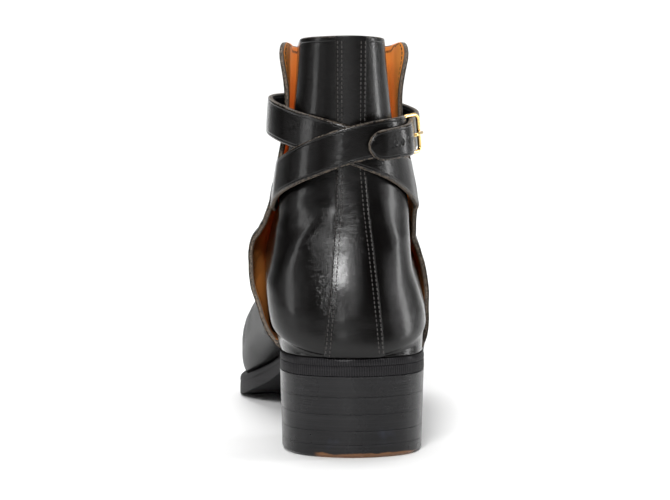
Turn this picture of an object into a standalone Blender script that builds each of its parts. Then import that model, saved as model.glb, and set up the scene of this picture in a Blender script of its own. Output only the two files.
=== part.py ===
"""Jodhpur boot for the right foot.

A front panel with two wings reaches round a back panel that is tucked inside it.
Two straps leave the wings, cross behind the ankle, and meet at a buckle on the outer side.
+Y points to the toe, +X to the outer side, and +Z up. Sizes are in millimetres until a mesh is made.
"""
from collections import namedtuple
from math import acos, cos, pi, sin, sqrt

import bmesh
import bpy
import numpy as np

MM = 0.001
GAP = 0.3

# Driving sizes of the boot
HEEL_HEIGHT = 42.5
SEAT_THICK = 7.7
WALL = 2.3
WELT_THICK = 3.2
WELT_INSET = 0.3
WELT_WIDTH = 14.0
HEEL_INSET = 0.3
INSOLE_THICK = 3.0
INSOLE_PLAY = 1.1
STRIP_THICK = 1.2
STRAP_THICK = 2.2
STRAP_WIDTH = 15.4
TIP_WIDTH = 13.0
HEEL_BREAST = 63.0
BREAST_HOLLOW = 3.0
WING_CORNER = 9.5
WING_FLARE_REACH = 22.0
SEAT_INSET = 1.2
WAIST_INSET = 3.2
BALL_INSET = 5.0
TUCK = WALL + 0.5
FULLNESS = 0.05

# Plan of the outsole: distance from the back of the heel, inner edge and outer edge
Plan = namedtuple("Plan", "y inner outer")
SOLE_PLAN = [
    Plan(0.0, 0.0, 0.0),
    Plan(3.6, -15.5, 15.5),
    Plan(12.5, -26.5, 26.5),
    Plan(29.0, -31.3, 31.3),
    Plan(58.0, -29.8, 31.2),
    Plan(95.0, -26.0, 32.0),
    Plan(130.0, -32.5, 36.8),
    Plan(160.0, -43.2, 40.6),
    Plan(187.0, -48.2, 39.2),
    Plan(212.0, -44.8, 32.5),
    Plan(233.0, -37.4, 22.4),
    Plan(248.5, -29.2, 13.4),
    Plan(258.5, -18.8, 2.8),
    Plan(262.0, -8.0, -8.0),
]

# Side view of the sole: height of its underside and the thickness of outsole and welt together
Side = namedtuple("Side", "y under thick")
SOLE_SIDE = [
    Side(0.0, HEEL_HEIGHT - SEAT_THICK, SEAT_THICK),
    Side(30.0, 34.5, SEAT_THICK),
    Side(62.0, 33.0, SEAT_THICK),
    Side(82.0, 30.6, 7.8),
    Side(100.0, 26.6, 8.0),
    Side(120.0, 20.2, 8.3),
    Side(150.0, 9.4, 8.8),
    Side(172.0, 3.2, 9.2),
    Side(190.0, 0.0, 9.5),
    Side(201.0, 0.0, 9.5),
    Side(212.0, 0.0, 9.5),
    Side(238.0, 2.8, 9.3),
    Side(262.0, 8.0, 9.0),
]

# Sections of the upper. Each lies in a plane through a front point and a back or bottom point.
# front_x and back_x are the section's middle there, front_round and back_round the lengths of its
# rounded ends, inner and outer the front panel's sides, counter_in and counter_out the back panel's,
# wing_in and wing_out how far back the wings reach, flare_in and flare_out how far their edges stand off.
# A section with no back_z stands open on the sole.
Section = namedtuple(
    "Section",
    "name front_y front_z back_y back_z front_x back_x front_round back_round "
    "inner outer counter_in counter_out wing_in wing_out flare_in flare_out",
)
SECTIONS = [
    Section("top", 101, 172.4, 8.5, 178, -3, -1.8, 38, 21, -27.4, 22.2, -22.6, 13.7, 46, 46, 5.2, 5.0),
    Section("shaft", 101, 150, 10, 158, -3, -1.8, 38, 22, -28.2, 22.4, -23.8, 15.6, 46, 46, 0.8, 0.6),
    Section("strap", 102, 134, 11, 140, -3, -1.6, 38, 23, -29.4, 23.2, -25.8, 17.8, 44, 44, 0.2, 0.2),
    Section("gaiter", 104, 122, 11.5, 122, -3, -1.4, 38, 24, -31.8, 26.2, -28.6, 21.2, 42, 42, 0.6, 0.6),
    Section("ankle", 106.5, 114.5, 10.5, 104, -3, -1.2, 38, 26, -34.2, 28.6, -31.2, 24.4, 42.2, 42.2, 1.0, 0.8),
    Section("instep", 109, 109.5, 6.5, 86, -3, -1, 40, 28, -36, 28.8, -32.9, 24.8, 51, 51, 3.0, 0.6),
    Section("counter", 112, 104.5, 2, 70, -3, -0.8, 42, 31, -38, 29.6, -34.8, 25.6, 59, 59, 5.6, 0.8),
    Section("bulge", 115.5, 99.5, 0, 56, -3, -0.6, 45, 33, -39.6, 32.2, -36.6, 28.8, 60, 60, 5.2, 1.4),
    Section("seat", 120, 94, SEAT_INSET, 42.8, -3, 0, 48, 34, -39.0, 34.8, -35.2, 31.8, 56, 56, 4.6, 0.6),
    Section("heel", 125, 89.5, 16, None, -3, 0, 50, 33, -38.2, 34.8, -33.6, 31.8, 48, 48, 2.0, 0.0),
    Section("breast", 132, 84.5, 39, None, -3, 0, 50, 24, -37.6, 35.0, -33.2, 31.8, 39, 39, 0, 0),
    Section("arch", 141, 79, 66, None, -2.5, 0, 46, 17, -37.4, 36.4, -33.4, 33.2, 66, 66, 0, 0),
    Section("waist", 153, 73.5, 96, None, -2, 0, 42, 15, -38.4, 38.4, -34.2, 35, 96, 96, 0, 0),
    Section("shank", 167, 67.5, 126, None, -2, 0, 37, 14, -42, 40.2, -37.6, 36.8, 126, 126, 0, 0),
    Section("joint", 183, 60.5, 155, None, -2.5, -1, 33, 12, -45.6, 41, 0, 0, 155, 155, 0, 0),
    Section("ball", 200, 53.5, 182, None, -3.5, -3, 29, 11, -47, 38.6, 0, 0, 182, 182, 0, 0),
    Section("toes", 218, 46.5, 206, None, -5, -5, 24, 9, -43.6, 32, 0, 0, 206, 206, 0, 0),
    Section("cap", 233.5, 40.2, 224, None, -6.5, -6, 18, 7, -36, 22, 0, 0, 224, 224, 0, 0),
    Section("toe_top", 246, 34.6, 231, None, -7.5, -7, 15.5, 5.5, -31.4, 16.6, 0, 0, 233, 233, 0, 0),
    Section("toe_front", 255.0, 26.6, 236, None, -8, -7, 18.0, 3.6, -30.6, 15.2, 0, 0, 236, 236, 0, 0),
    Section("toe_edge", 257, 16.8, 241, None, -8, -7, 15.4, 1.4, -28.6, 12.9, 0, 0, 241, 241, 0, 0),
]
SECTION_AT = {row.name: index for index, row in enumerate(SECTIONS)}

# Back strip: half-width on each side and its middle, by section
Strip = namedtuple("Strip", "section middle half")
BACK_STRIP = [
    Strip("top", -1.6, 6.3),
    Strip("gaiter", -1.5, 6.2),
    Strip("ankle", -1.0, 7.2),
    Strip("instep", -0.7, 8.8),
    Strip("counter", -0.6, 10.2),
    Strip("bulge", -0.6, 11.6),
    Strip("seat", -0.5, 12.8),
]

# Middle lines of the straps: x, y and z of each station, how far the band is cut off square
# there and how far its foot leans out, both in degrees, and its width. Both leave a wing.
Stop = namedtuple("Stop", "x y z skew lean width")
STRAP_OVER = [
    Stop(-32.9, 41.0, 113.8, 28, 7, 21.0),
    Stop(-31.4, 29.6, 117.6, 12, 7, 16.6),
    Stop(-25.6, 16.6, 122.4, 0, 5, STRAP_WIDTH),
    Stop(-15.2, 7.6, 127.6, 0, 2, STRAP_WIDTH),
    Stop(-3.0, 4.8, 132.0, 0, 0, STRAP_WIDTH),
    Stop(10.8, 7.1, 135.0, 0, 1, STRAP_WIDTH),
    Stop(18.8, 13.8, 136.0, 0, 4, STRAP_WIDTH),
    Stop(21.9, 23.0, 136.2, 0, 5, STRAP_WIDTH),
    Stop(22.3, 30.6, 136.2, 0, 5, STRAP_WIDTH),
]
STRAP_UNDER = [
    Stop(27.0, 41.0, 114.2, 26, 9, 21.0),
    Stop(23.3, 30.0, 118.4, 10, 9, 16.2),
    Stop(16.4, 17.8, 124.0, 0, 6, STRAP_WIDTH),
    Stop(7.8, 10.0, 128.4, 0, 2, STRAP_WIDTH),
    Stop(-2.6, 7.7, 132.2, 0, 0, STRAP_WIDTH),
    Stop(-14.2, 11.3, 135.6, 0, 2, STRAP_WIDTH),
    Stop(-24.6, 20.8, 138.4, 0, 4, STRAP_WIDTH),
    Stop(-32.2, 33.0, 141.4, 0, 4, STRAP_WIDTH),
    Stop(-35.0, 48.0, 143.2, 0, 4, STRAP_WIDTH),
    Stop(-34.2, 66.0, 144.2, 0, 3, STRAP_WIDTH),
    Stop(-28.8, 85.0, 144.6, 0, 2, STRAP_WIDTH),
    Stop(-17.0, 101.0, 144.6, 0, 0, STRAP_WIDTH),
    Stop(-3.0, 104.6, 144.2, 0, 0, 15.2),
    Stop(11.0, 101.6, 143.0, 0, 0, 15.0),
    Stop(22.8, 87.4, 141.0, 0, 2, 14.6),
    Stop(29.0, 69.0, 139.0, 0, 3, 14.2),
    Stop(30.0, 55.0, 137.6, 0, 3, 14.0),
    Stop(26.8, 41.0, 136.3, 0, 4, 13.9),
    Stop(25.8, 31.3, 135.2, 0, 5, 13.6),
    Stop(22.8, 14.0, 134.0, 0, 5, 13.4),
    Stop(13.5, 5.0, 132.4, 0, 1, TIP_WIDTH),
    Stop(5.8, 1.8, 131.6, 0, 0, TIP_WIDTH),
]
TIP_START = 20.1
OVER_STEPS = 26
UNDER_STEPS = 54

# Lifts of the heel from the sole down: their lower faces
LIFT_FLOORS = [26.0, 18.6, 11.6, 5.6]
HEEL_TAPER = 1.0
WORN_EDGE = 1.2

# Buckle: the middles of its hinge bar, inside the strap, and of its far bar, outside it,
# the frame's height and the diameters of its bars and prong
HINGE_BAR = np.array([22.6, 33.7, 135.0])
FAR_BAR = np.array([29.4, 40.8, 136.2])
BUCKLE_HEIGHT = 17.8
BUCKLE_CORNER = 2.4
BAR = 1.6
PRONG = 1.4
PRONG_REACH = 5.6
PRONG_HOLE = 3.0


def cubic(values, place):
    """Smooth curve through equally spaced values; the ends run on straight."""
    last = len(values) - 1
    place = min(max(place, 0.0), float(last))
    left = min(int(place), last - 1)
    step = place - left
    p1 = values[left]
    p2 = values[left + 1]
    p0 = values[left - 1] if left > 0 else 2 * p1 - p2
    p3 = values[left + 2] if left + 2 <= last else 2 * p2 - p1
    slope1 = (p2 - p0) / 2
    slope2 = (p3 - p1) / 2
    a = 2 * step**3 - 3 * step**2 + 1
    b = step**3 - 2 * step**2 + step
    c = -2 * step**3 + 3 * step**2
    d = step**3 - step**2
    return a * p1 + b * slope1 + c * p2 + d * slope2


def smooth(value):
    value = min(max(value, 0.0), 1.0)
    return value * value * (3 - 2 * value)


def blend(rows, key, name, at):
    """Value of one column of a table whose rows are not equally spaced."""
    keys = [getattr(row, key) for row in rows]
    values = [getattr(row, name) for row in rows]
    if at <= keys[0]:
        return values[0]
    if at >= keys[-1]:
        return values[-1]
    i = max(index for index in range(len(keys) - 1) if keys[index] <= at)
    step = (at - keys[i]) / (keys[i + 1] - keys[i])

    def slope(j):
        if j == 0 or j == len(keys) - 1:
            k = min(j, len(keys) - 2)
            return (values[k + 1] - values[k]) / (keys[k + 1] - keys[k])
        return (values[j + 1] - values[j - 1]) / (keys[j + 1] - keys[j - 1])

    span = keys[i + 1] - keys[i]
    a = 2 * step**3 - 3 * step**2 + 1
    b = step**3 - 2 * step**2 + step
    c = -2 * step**3 + 3 * step**2
    d = step**3 - step**2
    return a * values[i] + b * span * slope(i) + c * values[i + 1] + d * span * slope(i + 1)


def sole_under(y):
    return max(blend(SOLE_SIDE, "y", "under", y), 0.0)


def sole_top(y):
    return sole_under(y) + blend(SOLE_SIDE, "y", "thick", y)


def plan_point(place, side):
    """Point on the outsole's edge; place counts rows of the plan, side is inner or outer."""
    y_values = [row.y for row in SOLE_PLAN]
    x_values = [getattr(row, side) for row in SOLE_PLAN]
    y_values = [y_values[1]] + y_values + [y_values[-2]]
    x_values = [2 * x_values[0] - x_values[1]] + x_values + [2 * x_values[-1] - x_values[-2]]
    return np.array([cubic(x_values, place + 1), cubic(y_values, place + 1)])


def plan_edge(place, side, inset):
    """Point inside the outsole's edge by the inset, measured square to the edge."""
    step = 0.01
    here = plan_point(place, side)
    along = plan_point(min(place + step, len(SOLE_PLAN) - 1), side) - plan_point(max(place - step, 0), side)
    if place <= 0:
        along = np.array([-1.0 if side == "inner" else 1.0, 0.0])
    if place >= len(SOLE_PLAN) - 1:
        along = np.array([1.0 if side == "inner" else -1.0, 0.0])
    along = along / np.linalg.norm(along)
    inward = np.array([along[1], -along[0]]) if side == "inner" else np.array([-along[1], along[0]])
    return here + inward * inset


def front_inset(y):
    waist = GAP + (WAIST_INSET - GAP) * smooth((y - 50) / 45)
    return waist + (BALL_INSET - WAIST_INSET) * smooth((y - 110) / 50)


def tuck(y):
    """How far the back panel's lower edge is tucked in and up where the front panel covers it."""
    return TUCK * smooth((y - 33) / 7)


def back_inset(y):
    return SEAT_INSET + (WAIST_INSET - SEAT_INSET) * smooth((y - 34) / 9) + 0.8 * smooth((y - 60) / 30)


PLAN_STEPS = 14


def feather(side, inset_of):
    """Where an upper panel meets the sole, as x over y."""
    places = np.linspace(0, len(SOLE_PLAN) - 1, PLAN_STEPS * (len(SOLE_PLAN) - 1) + 1)
    points = [plan_edge(p, side, inset_of(plan_point(p, side)[1])) for p in places]
    return np.array(points)


FEATHER = {
    "front": {side: feather(side, front_inset) for side in ("inner", "outer")},
    "back": {side: feather(side, back_inset) for side in ("inner", "outer")},
}


def feather_x(panel, side, y):
    line = FEATHER[panel][side]
    return float(np.interp(y, line[:, 1], line[:, 0]))


def column(name, place):
    return cubic([float(getattr(row, name)) for row in SECTIONS], place)


BACK_Z = [row.back_z if row.back_z is not None else sole_top(row.back_y) + GAP for row in SECTIONS]
SEAT = SECTION_AT["seat"]
PANEL_SIDES = {
    "front": {"inner": "inner", "outer": "outer"},
    "back": {"inner": "counter_in", "outer": "counter_out"},
}
THIRD = 1 / 3


def section(place, panel="front"):
    """Front and back points of a panel's section plane at a place along the upper."""
    front = np.array([column("front_y", place), column("front_z", place)])
    back_y = column("back_y", place)
    back_z = cubic(BACK_Z, place)
    if place > SEAT:
        back_z = sole_top(back_y) + GAP
        if panel == "back":
            back_z += tuck(back_y)
    return front, np.array([back_y, back_z])


def round_limits(place):
    front, back = section(place)
    length = float(np.linalg.norm(back - front))
    start = column("front_round", place) / length
    end = 1 - max(column("back_round", place), 0.1) / length
    return start, max(end, start + 0.001)


def skin(panel, place, around):
    """Outer face of a panel. around runs from 0 at the front to 1 at the back or the sole,
    positive on the outer side of the foot and negative on the inner side."""
    side = "outer" if around >= 0 else "inner"
    part = abs(around)
    front, back = section(place, panel)
    start, end = round_limits(place)
    wide = column(PANEL_SIDES[panel][side], place)
    front_x = column("front_x", place)
    low_x = column("back_x", place)
    if place > SEAT:
        low_x = feather_x(panel, side, back[0])
    if part <= THIRD:
        angle = part / THIRD * pi / 2
        full = 1 + FULLNESS * sin(2 * angle) ** 2
        x = front_x + (wide - front_x) * sin(angle) * full
        along = start * (1 - cos(angle) * full)
    elif part <= 2 * THIRD:
        x = wide
        along = start + (end - start) * (part - THIRD) / THIRD
    else:
        centre = low_x
        if place > SEAT:
            centre = low_x * smooth((place - SEAT - 1) / 3)
        last = acos((low_x - centre) / (wide - centre))
        angle = (part - 2 * THIRD) / THIRD * last
        x = centre + (wide - centre) * cos(angle)
        along = end + (1 - end) * sin(angle) / sin(last)
    y, z = front + (back - front) * along
    if panel == "front" and place < SECTION_AT["breast"]:
        flare = column("flare_out" if side == "outer" else "flare_in", place)
        edge = column("wing_out" if side == "outer" else "wing_in", place)
        nearness = smooth(1 - (y - edge) / WING_FLARE_REACH)
        x += (1 if side == "outer" else -1) * max(flare, 0) * nearness
    return np.array([x, y, z])


def wing_edge(place, side):
    """How far back the wing reaches; the top corner is rounded."""
    edge = column("wing_out" if side == "outer" else "wing_in", place)
    drop = place * (SECTIONS[0].back_z - SECTIONS[1].back_z)
    if drop < WING_CORNER:
        rise = 1 - drop / WING_CORNER
        edge += WING_CORNER * (1 - sqrt(max(1 - rise * rise, 0)))
    return edge


def wing_limit(place, side):
    """The wing's edge as a place around the section."""
    if place >= SECTION_AT["breast"]:
        return 1.0
    front, back = section(place)
    start, end = round_limits(place)
    along = (front[0] - wing_edge(place, side)) / (front[0] - back[0])
    if along <= start:
        return acos(1 - along / start) / (pi / 2) * THIRD
    if along <= end:
        return THIRD + (along - start) / (end - start) * THIRD
    reach = min((along - end) / (1 - end), 1.0)
    return 2 * THIRD + (pi / 2 - acos(reach)) / (pi / 2) * THIRD


def above_sole(co):
    """Keep a turned-in edge from reaching below the sole's top."""
    floor = (sole_top(co.y / MM) + GAP) * MM
    co.z = max(co.z, floor)
    return co


def solid_from_sheet(name, points, faces, wall, lift=0.0):
    """Thicken an open sheet inward by the wall; lift moves its outer face outward first."""
    mesh = bpy.data.meshes.new(name)
    sheet = bmesh.new()
    verts = [sheet.verts.new(point * MM) for point in points]
    for face in faces:
        sheet.faces.new([verts[i] for i in face])
    bmesh.ops.remove_doubles(sheet, verts=sheet.verts, dist=0.01 * MM)
    sheet.normal_update()
    sheet.verts.index_update()
    outer = [above_sole(vert.co + vert.normal * lift * MM) for vert in sheet.verts]
    inner = [above_sole(vert.co + vert.normal * (lift - wall) * MM) for vert in sheet.verts]
    count = len(outer)
    loops = [[vert.index for vert in face.verts] for face in sheet.faces]
    rims = []
    for edge in sheet.edges:
        if len(edge.link_faces) == 1:
            loop = edge.link_loops[0]
            rims.append((loop.vert.index, loop.link_loop_next.vert.index))
    sheet.free()
    solid_faces = loops[:]
    solid_faces += [[index + count for index in reversed(loop)] for loop in loops]
    solid_faces += [[b, a, a + count, b + count] for a, b in rims]
    mesh.from_pydata([tuple(co) for co in outer + inner], [], solid_faces)
    return finish(name, mesh)


def finish(name, mesh, sharp=32):
    mesh.validate()
    part = bpy.data.objects.new(name, mesh)
    bpy.context.scene.collection.objects.link(part)
    tidy = bmesh.new()
    tidy.from_mesh(mesh)
    bmesh.ops.triangulate(tidy, faces=tidy.faces)
    bmesh.ops.recalc_face_normals(tidy, faces=tidy.faces)
    tidy.to_mesh(mesh)
    tidy.free()
    mesh.shade_smooth()
    mesh.set_sharp_from_angle(angle=sharp * pi / 180)
    return part


def grid_faces(rows, columns, base=0, flip=False):
    faces = []
    for i in range(rows - 1):
        for j in range(columns - 1):
            a = base + i * columns + j
            face = [a, a + 1, a + columns + 1, a + columns]
            faces.append(face[::-1] if flip else face)
    return faces


FRONT_PLACES = (
    [0, 0.04, 0.1, 0.18, 0.3, 0.6, 1, 1.5]
    + list(np.arange(2, 10, 0.5))
    + [9.75, 9.9, 10, 10.3]
    + list(np.arange(10.75, 20.01, 0.5))
    + [20]
)
FRONT_COLUMNS = 24


def spread(part, limit):
    """Columns keep their place near the front, and only the outer ones follow the wing's edge."""
    held = 0.8 * THIRD
    share = 0.55
    if part <= share:
        return held * part / share
    return held + (limit - held) * (part - share) / (1 - share)


def front_panel():
    places = sorted(set(round(float(p), 3) for p in FRONT_PLACES))
    points = []
    for place in places:
        inner = wing_limit(place, "inner")
        outer = wing_limit(place, "outer")
        for j in range(FRONT_COLUMNS + 1):
            part = j / FRONT_COLUMNS * 2 - 1
            limit = outer if part >= 0 else inner
            around = spread(abs(part), limit)
            points.append(skin("front", place, around if part >= 0 else -around))
    faces = grid_faces(len(places), FRONT_COLUMNS + 1)
    return solid_from_sheet("front_panel", points, faces, WALL)


COUNTER_FRONT = 0.36
COUNTER_COLUMNS = 11
COUNTER_LAST = SECTION_AT["waist"]


def back_places():
    """Places along the back panel, close together where the heel's edge turns."""
    places = list(np.arange(0, SEAT, 0.5)) + [SEAT - 0.25, SEAT]
    back_ys = [1.6, 3.2, 6.0, 10.0]
    for target in back_ys:
        low = float(SEAT)
        high = SEAT + 1.0
        for _ in range(30):
            middle = (low + high) / 2
            if column("back_y", middle) < target:
                low = middle
            else:
                high = middle
        places.append((low + high) / 2)
    return places + list(np.arange(SEAT + 1, COUNTER_LAST + 0.01, 0.5))


def back_panel():
    places = back_places()
    points = []
    faces = []
    for side in (1, -1):
        base = len(points)
        for place in places:
            for j in range(COUNTER_COLUMNS + 1):
                around = COUNTER_FRONT + (1 - COUNTER_FRONT) * j / COUNTER_COLUMNS
                points.append(skin("back", place, side * around))
        faces += grid_faces(len(places), COUNTER_COLUMNS + 1, base, side < 0)
    return solid_from_sheet("back_panel", points, faces, WALL)


STRIP_COLUMNS = 7


def back_strip():
    names = [row.section for row in BACK_STRIP]
    keys = [SECTION_AT[name] for name in names]
    places = list(np.arange(0, SEAT, 0.5)) + [SEAT - 0.2, SEAT - 0.02]
    columns = STRIP_COLUMNS
    points = []
    for place in places:
        middle = float(np.interp(place, keys, [row.middle for row in BACK_STRIP]))
        half = float(np.interp(place, keys, [row.half for row in BACK_STRIP]))
        for j in range(columns):
            x = middle + half * (j / (columns - 1) * 2 - 1)
            points.append(on_back(place, x))
    faces = grid_faces(len(places), columns, flip=True)
    return solid_from_sheet("back_strip", points, faces, STRIP_THICK, GAP + STRIP_THICK)


def on_back(place, x):
    """Point of the back panel's outer face at a distance from the middle plane."""
    low_x = column("back_x", place)
    side = "outer" if x >= low_x else "inner"
    wide = column(PANEL_SIDES["back"][side], place)
    angle = acos(min((x - low_x) / (wide - low_x), 1.0))
    around = 2 * THIRD + angle / (pi / 2) * THIRD
    return skin("back", place, around if side == "outer" else -around)


# Cross-section of a strap in shares of its width and thickness, with eased edges
STRAP_PROFILE = [
    (-0.5, -0.35), (-0.5, 0.35), (-0.46, 0.5), (0.46, 0.5), (0.5, 0.35), (0.5, -0.35), (0.46, -0.5), (-0.46, -0.5),
]


def band(name, stops, steps, thick, turn, tip_from=None):
    """Strap swept along its stations, with softly rounded edges. turn is 1 where it runs
    round the boot towards the outer side and -1 the other way."""
    count = len(stops) - 1
    places = [count * i / steps for i in range(steps + 1)]
    centre = [np.array([cubic([getattr(row, axis) for row in stops], p) for axis in ("x", "y", "z")])
              for p in places]
    widths = [cubic([row.width for row in stops], p) for p in places]
    if tip_from is not None:
        widths = [w * tip_round(p, tip_from, count) for w, p in zip(widths, places)]
    points = []
    for i, here in enumerate(centre):
        ahead = centre[min(i + 1, steps)] - centre[max(i - 1, 0)]
        ahead = ahead / np.linalg.norm(ahead)
        outward = turn * np.cross(ahead, [0.0, 0.0, 1.0])
        outward = outward / np.linalg.norm(outward)
        up = turn * np.cross(outward, ahead)
        skew = cubic([row.skew for row in stops], places[i]) * pi / 180
        lean = cubic([row.lean for row in stops], places[i]) * pi / 180
        up = (up * cos(skew) + ahead * sin(skew)) * cos(lean) - outward * sin(lean)
        outward = outward * cos(lean) + np.array([0.0, 0.0, sin(lean)])
        for across, through in STRAP_PROFILE:
            points.append(here + up * across * widths[i] + outward * through * thick)
    ring = len(STRAP_PROFILE)
    faces = []
    for i in range(steps):
        for j in range(ring):
            a = i * ring + j
            b = i * ring + (j + 1) % ring
            faces.append([a, b, b + ring, a + ring])
    faces.append(list(range(ring))[::-1])
    faces.append([steps * ring + j for j in range(ring)])
    return solid(name, points, faces, 50)


def solid(name, points, faces, sharp=32):
    mesh = bpy.data.meshes.new(name)
    mesh.from_pydata([tuple(point * MM) for point in points], [], faces)
    return finish(name, mesh, sharp)


def tip_round(place, start, end):
    """Share of the strap's width left near its rounded tip."""
    reach = (place - start) / (end - start)
    if reach <= 0:
        return 1.0
    return sqrt(max(1 - reach * reach, 0.06))


def plan_loop(inset_of, steps, taper=0.0):
    """Closed outline round the sole, inner side from heel to toe, then outer side back."""
    places = np.linspace(0, len(SOLE_PLAN) - 1, steps + 1)
    inner = [plan_edge(p, "inner", inset_of(plan_point(p, "inner")[1]) + taper) for p in places]
    outer = [plan_edge(p, "outer", inset_of(plan_point(p, "outer")[1]) + taper) for p in places]
    return inner, outer


def plate(name, inset_of, low_of, high_of, steps=30, edge=0.0):
    """Full plate that follows the sole's side view, with a bulged edge."""
    rims = [(edge, 0.0), (0.0, 0.3), (0.0, 0.7), (edge, 1.0)]
    points = []
    for taper, share in rims:
        inner, outer = plan_loop(inset_of, steps, taper)
        for x, y in inner + outer[1:-1][::-1]:
            points.append(np.array([x, y, low_of(y) + (high_of(y) - low_of(y)) * share]))
    ring = 2 * steps
    faces = []
    for level in range(len(rims) - 1):
        for j in range(ring):
            a = level * ring + j
            b = level * ring + (j + 1) % ring
            faces.append([a, b, b + ring, a + ring])
    top = (len(rims) - 1) * ring
    for base, flip in ((0, True), (top, False)):
        for i in range(steps):
            left = [base + i, base + i + 1]
            right = [base + (ring - i) % ring, base + (ring - i - 1)]
            face = [left[0], left[1], right[1], right[0]]
            face = [index for n, index in enumerate(face) if index not in face[:n]]
            faces.append(face[::-1] if flip else face)
    return solid(name, points, faces)


def flat_inset(size):
    return lambda y: size


def ring_plate(name, outer_inset, inner_inset, low_of, high_of, steps=30):
    """Strip that runs round the whole sole edge."""
    rings = []
    for inset, height_of in (
        (outer_inset, low_of), (outer_inset, high_of), (inner_inset, high_of), (inner_inset, low_of),
    ):
        inner, outer = plan_loop(flat_inset(inset), steps)
        rings.append([np.array([x, y, height_of(y)]) for x, y in inner + outer[1:-1][::-1]])
    count = 2 * steps
    points = [point for ring in rings for point in ring]
    faces = []
    for level in range(4):
        for j in range(count):
            a = level * count + j
            b = level * count + (j + 1) % count
            c = ((level + 1) % 4) * count + (j + 1) % count
            d = ((level + 1) % 4) * count + j
            faces.append([a, b, c, d])
    return solid(name, points, faces)


def heel_outline(taper, steps=14, breast_steps=6):
    """Outline of a heel lift: round the back and across the hollow breast."""
    last = 4.2
    inner = [plan_edge(p, "inner", HEEL_INSET + taper) for p in np.linspace(0, last, steps + 1)]
    outer = [plan_edge(p, "outer", HEEL_INSET + taper) for p in np.linspace(0, last, steps + 1)]
    inner = [point for point in inner if point[1] < HEEL_BREAST - 1]
    outer = [point for point in outer if point[1] < HEEL_BREAST - 1]
    breast = []
    for i in range(breast_steps + 1):
        share = i / breast_steps
        x = inner[-1][0] + (outer[-1][0] - inner[-1][0]) * share
        y = HEEL_BREAST - BREAST_HOLLOW * sin(pi * share)
        breast.append(np.array([x, y]))
    return inner + breast + outer[1:][::-1]


def heel_lift(name, low, high_of, taper_low, taper_high, worn=0.0):
    points = []
    levels = [(taper_low + worn, lambda y: low), (taper_low, lambda y: low + worn), (taper_high, high_of)]
    if worn == 0:
        levels = levels[1:]
    for taper, height_of in levels:
        outline = heel_outline(taper)
        points += [np.array([x, y, height_of(y)]) for x, y in outline]
    ring = len(points) // len(levels)
    faces = []
    for level in range(len(levels) - 1):
        for j in range(ring):
            a = level * ring + j
            b = level * ring + (j + 1) % ring
            faces.append([a, b, b + ring, a + ring])
    faces.append(list(range(ring))[::-1])
    faces.append([(len(levels) - 1) * ring + j for j in range(ring)])
    return solid(name, points, faces)


def heel():
    lifts = []
    top = sole_under(0)
    ceilings = [lambda y: sole_under(y) - GAP] + [
        (lambda level: lambda y: level - GAP)(floor) for floor in LIFT_FLOORS
    ]
    names = ["heel_lift_1", "heel_lift_2", "heel_lift_3", "heel_lift_4", "heel_top_lift"]
    floors = LIFT_FLOORS + [0.0]
    for name, low, ceiling in zip(names, floors, ceilings):
        taper_low = HEEL_TAPER * (1 - low / top)
        taper_high = HEEL_TAPER * (1 - ceiling(0) / top)
        worn = WORN_EDGE if low == 0 else 0.0
        lifts.append(heel_lift(name, low, ceiling, taper_low, taper_high, worn))
    return lifts


def material(name, colour, rough, metal=0.0):
    stuff = bpy.data.materials.new(name)
    stuff.use_nodes = True
    shader = stuff.node_tree.nodes["Principled BSDF"]
    shader.inputs["Base Color"].default_value = (*colour, 1.0)
    shader.inputs["Roughness"].default_value = rough
    shader.inputs["Metallic"].default_value = metal
    return stuff


def sole_parts():
    outsole = plate("outsole", flat_inset(0.0), sole_under, lambda y: sole_top(y) - WELT_THICK - GAP, edge=0.8)
    welt = ring_plate("welt", WELT_INSET, WELT_WIDTH, lambda y: sole_top(y) - WELT_THICK, sole_top)
    insole = plate(
        "insole",
        lambda y: max(front_inset(y), SEAT_INSET) + WALL + INSOLE_PLAY,
        lambda y: sole_top(y) + GAP,
        lambda y: sole_top(y) + GAP + INSOLE_THICK,
        edge=0.6,
    )
    return [outsole, welt, insole]


def tube(name, points, radius, flat, sides=6, closed=False):
    """Round bar through the points; flat is a direction that is never along the bar."""
    count = len(points)
    verts = []
    for i in range(count):
        after = points[(i + 1) % count] if closed else points[min(i + 1, count - 1)]
        before = points[i - 1] if closed else points[max(i - 1, 0)]
        ahead = (after - before) / np.linalg.norm(after - before)
        sideways = np.cross(ahead, flat)
        sideways = sideways / np.linalg.norm(sideways)
        upright = np.cross(sideways, ahead)
        for j in range(sides):
            turn = 2 * pi * j / sides
            verts.append(points[i] + (sideways * cos(turn) + upright * sin(turn)) * radius)
    faces = []
    for i in range(count if closed else count - 1):
        for j in range(sides):
            a = i * sides + j
            b = i * sides + (j + 1) % sides
            c = ((i + 1) % count) * sides + (j + 1) % sides
            d = ((i + 1) % count) * sides + j
            faces.append([a, b, c, d])
    if not closed:
        faces.append(list(range(sides))[::-1])
        faces.append([(count - 1) * sides + j for j in range(sides)])
    return solid(name, verts, faces, 60)


def buckle_axes():
    """Directions along, up and out of the buckle's frame."""
    along = (FAR_BAR - HINGE_BAR) / np.linalg.norm(FAR_BAR - HINGE_BAR)
    up = np.array([0.0, 0.0, 1.0])
    up = up - along * up.dot(along)
    up = up / np.linalg.norm(up)
    return along, up, np.cross(along, up)


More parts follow.
